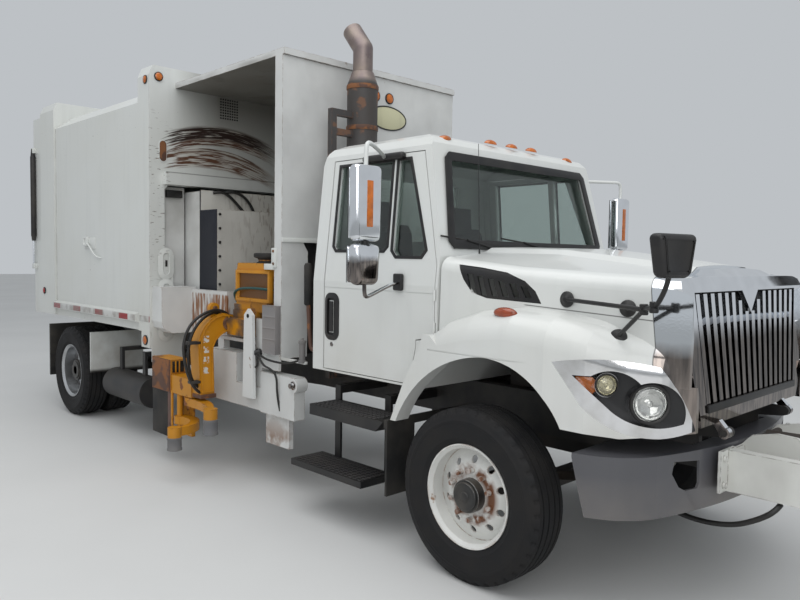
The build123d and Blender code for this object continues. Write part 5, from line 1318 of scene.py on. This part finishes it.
print("tail lamps ready")

# %% [markdown]
# ## The bulkhead's bare oval and the packer's trim
# The oval board on the bulkhead carries a name on the real truck. It stays bare here: a pale
# oval with a dark rim. The packer's face plate is held by a row of bolts at its outer edge,
# and two hoses run over its top from the plate behind.

# %% Bare oval and bulkhead bar
OVAL_X, OVAL_Y, OVAL_Z = 0.561, 0.136, 3.085


def oval(half_wide, half_high, x):
    """Corners of an oval on a wall that faces ahead."""
    return [(x, OVAL_Y + cos(a) * half_wide, OVAL_Z + sin(a) * half_high)
            for a in (i * 2 * pi / 40 for i in range(40))]


oval_pale = painted("oval_paint", (0.60, 0.58, 0.38), 0.0, 0.1, 0.78, 0.3, 0.28, 0.35)
plate("bare_oval", oval(0.212, 0.096, OVAL_X + 0.006), oval_pale, "refuse_body", 0.008, 0.001)
gasket("bare_oval_rim", oval(0.222, 0.106, OVAL_X + 0.009), 0.012, 0.011, trim_black,
       "refuse_body")
boxed("bulkhead_bar", [(0.555, -0.98, 1.972), (0.574, 0.98, 2.006)], body_white, "refuse_body")
boxed("bulkhead_sheet", [(0.5, -0.7253, 1.062), (0.508, 0.7253, 2.0003)], trim_black, "refuse_body")
print("oval ready")

# %% Packer bolts and hoses
bolt = begin("packer_bolts", "cylinder", trim_black, vertices=8, radius=0.013, depth=0.012,
             location=(-0.646, -0.820, 2.235), rotation=(0, pi / 2, 0))
bpy.ops.object.transform_apply(location=True, rotation=True)
edit(bolt)
pick_facing(bolt, X)
bpy.ops.mesh.inset(thickness=0.003)
bpy.ops.transform.translate(value=(0.003, 0, 0))
leave_edit()
repeat(bolt, 6, (0, 0, -0.128))
settle(bolt, "packing_blade")
for n, line in enumerate(([(-0.945, -0.72, 2.45), (-0.91, -0.66, 2.47), (-0.9, -0.57, 2.43),
                           (-0.9, -0.49, 2.36), (-0.895, -0.42, 2.29), (-0.89, -0.4, 2.265)],
                          [(-0.945, -0.6, 2.46), (-0.91, -0.54, 2.475), (-0.9, -0.43, 2.45),
                           (-0.9, -0.34, 2.37), (-0.895, -0.3, 2.29), (-0.89, -0.29, 2.265)]), 1):
    tube(f"packer_hose_{n}", line, 0.0145, hose_black, "packing_blade")
boxed("packer_side_sheet", [(-1.5, -0.8453, 1.215), (-0.969, -0.839, 2.46)], hopper_grey,
      "packing_blade")
print("packer details ready")

# %% [markdown]
# ## The arm's head, hoses and rollers
# The slide's tower is a yellow housing with a sunk panel and a rubber bellows on top. Two
# hoses lie clipped along the curved arm and swing with it. The fingers end in grey rollers
# with flanges, spun from a profile a little larger than the solid that they sleeve.

# %% Tower panel and bellows
panel = block("tower_panel", [(-0.105, -0.95, 1.48), (0.4, -0.986, 1.742)], arm_yellow)
sink(panel, -Y, 0.026, 0.0235)
ease(panel, 0.002)
settle(panel, "reach_boom")
lathe("tower_bellows", [(1.798, 0), (1.798, 0.1), (1.806, 0.096), (1.814, 0.082), (1.826, 0.078),
                        (1.838, 0.088), (1.848, 0.116), (1.856, 0.12), (1.876, 0.12), (1.883, 0.114),
                        (1.885, 0.09), (1.879, 0.08), (1.879, 0)], (0.20, -0.86, 0), Z, rubber,
      "reach_boom", 36)
teal = dusty("teal_hose_rubber", (0.008, 0.060, 0.058), 0.4, 0.1)
tube("teal_hose", [(-0.14, -0.93, 1.44), (-0.14, -0.965, 1.5), (-0.105, -0.998, 1.548),
                   (-0.02, -1.004, 1.582), (0.1, -1.004, 1.594), (0.25, -1.0, 1.596),
                   (0.345, -0.98, 1.592), (0.35, -0.93, 1.586), (0.322, -0.9, 1.58)], 0.011, teal,
     "reach_boom")
lathe("teal_fitting", [(0, 0), (0, 0.018), (0.018, 0.018), (0.02, 0.014), (0.03, 0.014), (0.03, 0)],
      (-0.140, -0.925, 1.445), (0, -0.3, 1), chrome, "reach_boom", 18)
print("tower dressed")

# %% Arm face and lug
ARM_FACE_X = -0.180
ARM_LINE = [(-1.0, 1.35), (-1.06, 1.358), (-1.13, 1.34), (-1.19, 1.3), (-1.24, 1.235),
            (-1.268, 1.15), (-1.28, 1.05), (-1.262, 0.706), (-1.15, 0.706), (-1.16, 1.04),
            (-1.152, 1.092), (-1.128, 1.14), (-1.085, 1.18), (-1.04, 1.205), (-1.0, 1.215)]
gasket("arm_face_rim", [(ARM_FACE_X + 0.005, y, z) for y, z in reversed(ARM_LINE)], 0.014, 0.008,
       arm_yellow, "swing_arm")
LUG = (-0.25, -1.112, 1.411)
lug = begin("arm_lug", "cylinder", arm_yellow, vertices=40, radius=0.045, depth=0.05,
            location=LUG, rotation=(0, pi / 2, 0))
bpy.ops.object.transform_apply(location=True, rotation=True)
edit(lug)
pick(lug, lambda centre, normal: normal.z < -0.35)
bpy.ops.mesh.extrude_region_move(TRANSFORM_OT_translate={"value": (0, 0, -0.075)})
leave_edit()
ease(lug, 0.003)
settle(lug, "swing_arm")
lathe("arm_lug_pin", [(-0.032, 0), (-0.032, 0.02), (0.036, 0.02), (0.038, 0.017), (0.038, 0)], LUG,
      X, nut_steel, "swing_arm", 24)
lathe("arm_pivot_cap", [(0, 0), (0, 0.062), (0.01, 0.06), (0.012, 0.04), (0.012, 0)],
      (-0.182, -1.0, 1.28), X, nut_steel, "swing_arm", 28)
print("arm lug ready")

# %% Arm hoses
ARM_HOSES = ([(-0.192, -1.0, 1.35), (-0.192, -1.06, 1.398), (-0.192, -1.2, 1.392),
              (-0.192, -1.355, 1.3), (-0.192, -1.425, 1.14), (-0.192, -1.41, 0.98),
              (-0.192, -1.365, 0.82), (-0.192, -1.3, 0.725), (-0.192, -1.262, 0.705)],
             [(-0.222, -1.03, 1.35), (-0.222, -1.09, 1.386), (-0.222, -1.21, 1.348),
              (-0.222, -1.325, 1.225), (-0.222, -1.366, 1.06), (-0.222, -1.352, 0.9),
              (-0.222, -1.318, 0.79), (-0.222, -1.266, 0.75)])
for n, line in enumerate(ARM_HOSES, 1):
    tube(f"arm_hose_{n}", line, 0.0125, hose_black, "swing_arm")
for n, clip in enumerate(([(-0.245, -1.385, 1.118), (-0.178, -1.268, 1.142)],
                          [(-0.245, -1.355, 0.788), (-0.178, -1.268, 0.812)]), 1):
    boxed(f"arm_hose_clip_{n}", clip, frame_black, "swing_arm", 0.003)
print("arm dressed")

# %% Rollers, label and bracket of the gripper
roller_grey = dusty("roller_rubber", (0.13, 0.13, 0.135), 0.65, 0.3)
ROLLER_END = [(0, 0), (0, 0.05), (0.004, 0.0605), (0.018, 0.0605), (0.024, 0.057)]
for label, x, y, low, high in (("upper", 0.15, -1.365, 0.428, 0.558),
                               ("lower", -0.19, -1.50, 0.258, 0.370)):
    profile = ([(low + step, radius) for step, radius in ROLLER_END]
               + [(high - step, radius) for step, radius in reversed(ROLLER_END)])
    lathe(f"{label}_roller", profile, (x, y, 0), Z, roller_grey, f"{label}_finger", 32)
boxed("gripper_label", [(-0.324, -1.268, 0.665), (-0.3165, -1.185, 0.775)], body_white, "swing_arm",
      0.002)
boxed("gripper_flange", [(-0.318, -1.275, 0.655), (-0.165, -1.13, 0.69)], brown_steel, "swing_arm")
print("gripper dressed")

# %% [markdown]
# ## The meter box and the small fittings around it
# A grey cover with three seams hides the truck's valves, and thin cables run from a plug
# beside it. The cover could be four boxes, but one block that is cut across by three planes
# has the seams in the right places, and each panel is then sunk on its own.

# %% Meter box and its cables
grey_clear = dusty("grey_cover", (0.21, 0.20, 0.20), 0.3, 0.2, top=0.2)
meter = block("meter_box", [(0.375, -0.975, 1.085), (0.555, -1.035, 1.47)], grey_clear)
edit(meter)
for z in (1.20, 1.29, 1.38):
    bpy.ops.mesh.select_all(action="SELECT")
    bpy.ops.mesh.bisect(plane_co=(0, 0, z), plane_no=(0, 0, 1))
pick_facing(meter, -Y)
bpy.ops.mesh.inset(thickness=0.007, depth=-0.005, use_individual=True)
leave_edit()
ease(meter, 0.002)
settle(meter, "refuse_body")
lathe("meter_plug", [(0, 0), (0, 0.03), (0.03, 0.034), (0.045, 0.026), (0.06, 0.016), (0.06, 0)],
      (0.282, -0.985, 1.075), -Y, trim_black, "refuse_body", 24)
CABLES = (
    [(0.28, -1.03, 1.07), (0.33, -1.04, 1.0), (0.3, -1.035, 0.96), (0.2, -1.03, 0.94),
     (0.165, -1.022, 0.86), (0.15, -1.004, 0.745)],
    [(0.29, -1.03, 1.07), (0.36, -1.045, 1.035), (0.42, -1.045, 0.985), (0.5, -1.035, 0.97),
     (0.565, -1.02, 0.92), (0.56, -1.016, 0.76), (0.575, -0.995, 0.64)],
    [(0.3, -1.03, 1.08), (0.4, -1.04, 1.045), (0.55, -1.03, 1.03), (0.68, -1.015, 1.03),
     (0.8, -1.0, 1.06), (0.835, -0.985, 1.08)])
for n, line in enumerate(CABLES, 1):
    tube(f"meter_cable_{n}", line, 0.0085, hose_black, "refuse_body")
print("meter box ready")

# %% Pipe behind the cab, sight glass and rod end
tube("rusty_pipe", [(0.836, -0.93, 1.8), (0.838, -0.93, 1.6), (0.852, -0.93, 1.4),
                    (0.87, -0.93, 1.22), (0.882, -0.93, 1.165), (0.92, -0.93, 1.15),
                    (1.004, -0.93, 1.15)], 0.016, brown_steel, "chassis")
lathe("pipe_sleeve", [(-0.16, 0), (-0.16, 0.021), (-0.15, 0.028), (0.14, 0.03), (0.16, 0.022),
                      (0.165, 0)], (0.837, -0.93, 1.65), Z, rubber, "chassis", 24)
boxed("sight_shelf", [(0.555, -0.976, 1.04), (0.87, -0.95, 1.062)], body_white, "refuse_body",
      0.003)
lathe("sight_glass", [(0, 0), (0, 0.03), (0.02, 0.03), (0.022, 0.024), (0.15, 0.024), (0.152, 0.03),
                      (0.172, 0.03), (0.176, 0.012), (0.19, 0.01), (0.19, 0)],
      (0.835, -0.976, 1.050), Z, roller_grey, "refuse_body", 28)
lathe("boss_rod", [(0, 0), (0, 0.0325), (0.012, 0.0325), (0.014, 0.022), (0.04, 0.02), (0.042, 0)],
      (0.75, -0.990, 0.866), -Y, chrome, "refuse_body", 32)
print("pipe and sight glass ready")

# %% The liner in the wall opening and the gripper's cover
for name, corners, finish, body, bevel in (
        ("opening_liner", [(-1.248, -1.1, 1.18), (-1.236, -0.862, 2.5)], hopper_grey, "refuse_body",
         0.003),
        ("opening_valve", [(-1.236, -1.06, 2.4), (-1.195, -0.9, 2.47)], trim_black, "refuse_body",
         0.006),
        ("gripper_cover", [(-1.025, -1.2945, 0.645), (-0.7, -1.2865, 0.925)], brown_steel,
         "swing_arm", 0.002),
        ("gripper_window", [(-0.682, -1.27, 0.815), (-0.6775, -1.16, 0.915)], hole_dark, "swing_arm",
         0.001),
        ("gripper_rib_1", [(-0.68, -1.246, 0.812), (-0.672, -1.234, 0.918)], head_paint, "swing_arm",
         0.002),
        ("gripper_rib_2", [(-0.68, -1.211, 0.812), (-0.672, -1.199, 0.918)], head_paint, "swing_arm",
         0.002),
        ("gripper_flap", [(-1.04, -1.284, 0.235), (-0.748, -1.27, 0.665)], rubber, "swing_arm",
         0.005),
        ("gripper_side_plate", [(-0.744, -1.284, 0.3), (-0.66, -1.268, 0.665)], head_paint,
         "swing_arm", 0.004),
        ("latch_bracket", [(0.352, -0.968, 1.752), (0.47, -1.006, 1.8)], body_white, "refuse_body",
         0.004),
        ("latch_post", [(0.44, -0.975, 1.772), (0.5, -0.996, 1.926)], body_white, "refuse_body",
         0.004)):
    boxed(name, corners, finish, body, bevel)
lathe("end_plate_hole", [(0, 0), (0, 0.017), (0.0035, 0.0165), (0.0035, 0.01), (0.002, 0)],
      (0.208, -1.060, 1.372), -Y, hole_dark, "reach_boom", 24)
for n, z in enumerate((1.80, 1.90), 1):
    lathe(f"latch_bolt_{n}", [(0, 0), (0, 0.012), (0.008, 0.01), (0.009, 0)], (0.470, -0.995, z), -Y,
          nut_steel, "refuse_body", 12)
print("liner, cover and latch ready")

# %% [markdown]
# ## Steps, stack and the hose under the bumper
# The steps are pressed grip plates: a raised tooth is modelled once, and two Array modifiers
# lay it out in rows. The stack's clamps are thin spun bands. A hydraulic hose loops under the
# bumper to the hitch, and it is held at both its ends.

# %% Step treads
COLUMNS, ROWS = 16, 6
for side, hand in SIDES:
    for label, x0, x1, y0, y1, z in (("upper", 1.165, 1.838, 0.896, 1.130, 0.809),
                                     ("lower", 0.985, 1.735, 0.896, 1.160, 0.380)):
        pitch_x, pitch_y = (x1 - x0) / COLUMNS, (y1 - y0) / ROWS
        tooth = block(f"{label}_tread_{hand}",
                      ((x0 + 0.006, side * (y0 + 0.004), z - 0.001),
                       (x0 + pitch_x - 0.006, side * (y0 + pitch_y - 0.004), z + 0.005)),
                      tank_grey)
        edit(tooth)
        pick_facing(tooth, Z)
        bpy.ops.transform.resize(value=(0.75, 0.6, 1))
        bpy.ops.mesh.inset(thickness=0.003, depth=-0.004)
        leave_edit()
        repeat(tooth, COLUMNS, (pitch_x, 0, 0))
        repeat(tooth, ROWS, (0, side * pitch_y, 0))
        settle(tooth, "chassis")
print("treads: 4")

# %% Stack clamps and the hose under the bumper
for n, z in enumerate((2.285, 2.52, 2.90, 3.225), 1):
    lathe(f"stack_band_{n}", [(-0.018, 0.12), (-0.018, 0.128), (-0.012, 0.13), (0.012, 0.13),
                              (0.018, 0.128), (0.018, 0.12)], (0.79, -0.362, z), Z, brown_steel,
          "chassis", 40)
tube("hitch_hose", [(3.4, -0.435, 0.66), (3.42, -0.445, 0.57), (3.5, -0.45, 0.505),
                    (3.68, -0.455, 0.478), (3.86, -0.455, 0.5), (3.98, -0.448, 0.56),
                    (4.06, -0.43, 0.62), (4.07, -0.385, 0.65)], 0.0145, hose_black, "chassis")
print("stack and hose ready")

# %% [markdown]
# ## The floor and the light
# A pale studio floor stands in for the yard. A curved backdrop is the usual way to hide a
# floor's far edge, but it would show from behind in the other views, so the floor is one
# plane so wide that its edge is lost at the horizon. Soft light comes from a wide area lamp
# overhead, a second in front, and an even pale world.

# %% Floor and lights
FLOOR_SIZE = 120
bpy.ops.mesh.primitive_plane_add(size=FLOOR_SIZE, location=(0, 0, -0.001))
floor = bpy.context.object
floor.name = "studio_floor"
bpy.ops.object.transform_apply(location=True)
floor_finish = Finish("studio_floor", (0.66, 0.66, 0.65), 0.9)
floor_finish.layer(floor_finish.noise(0.5, 0.3, 0.7), (0.62, 0.62, 0.61))
floor.data.materials.append(floor_finish.material)

for name, place, aim, size, watts in (("sky_lamp", (2, -3, 11), (0, 0, 1), 12, 720),
                                      ("front_lamp", (11, -9, 6), (1, 0, 1.5), 8, 380)):
    bpy.ops.object.light_add(type="AREA", location=place)
    lamp = bpy.context.object
    lamp.name = name
    lamp.data.size, lamp.data.energy = size, watts
    lamp.rotation_euler = (Vector(aim) - Vector(place)).to_track_quat("-Z", "Y").to_euler()
world = bpy.data.worlds.new("pale_world")
bpy.context.scene.world = world
world.use_nodes = True
sky = world.node_tree.nodes["Background"]
sky.inputs["Color"].default_value = (0.82, 0.86, 0.90, 1)
sky.inputs["Strength"].default_value = 0.62
bpy.context.scene.view_settings.view_transform = "Standard"
print("floor and lamps ready")
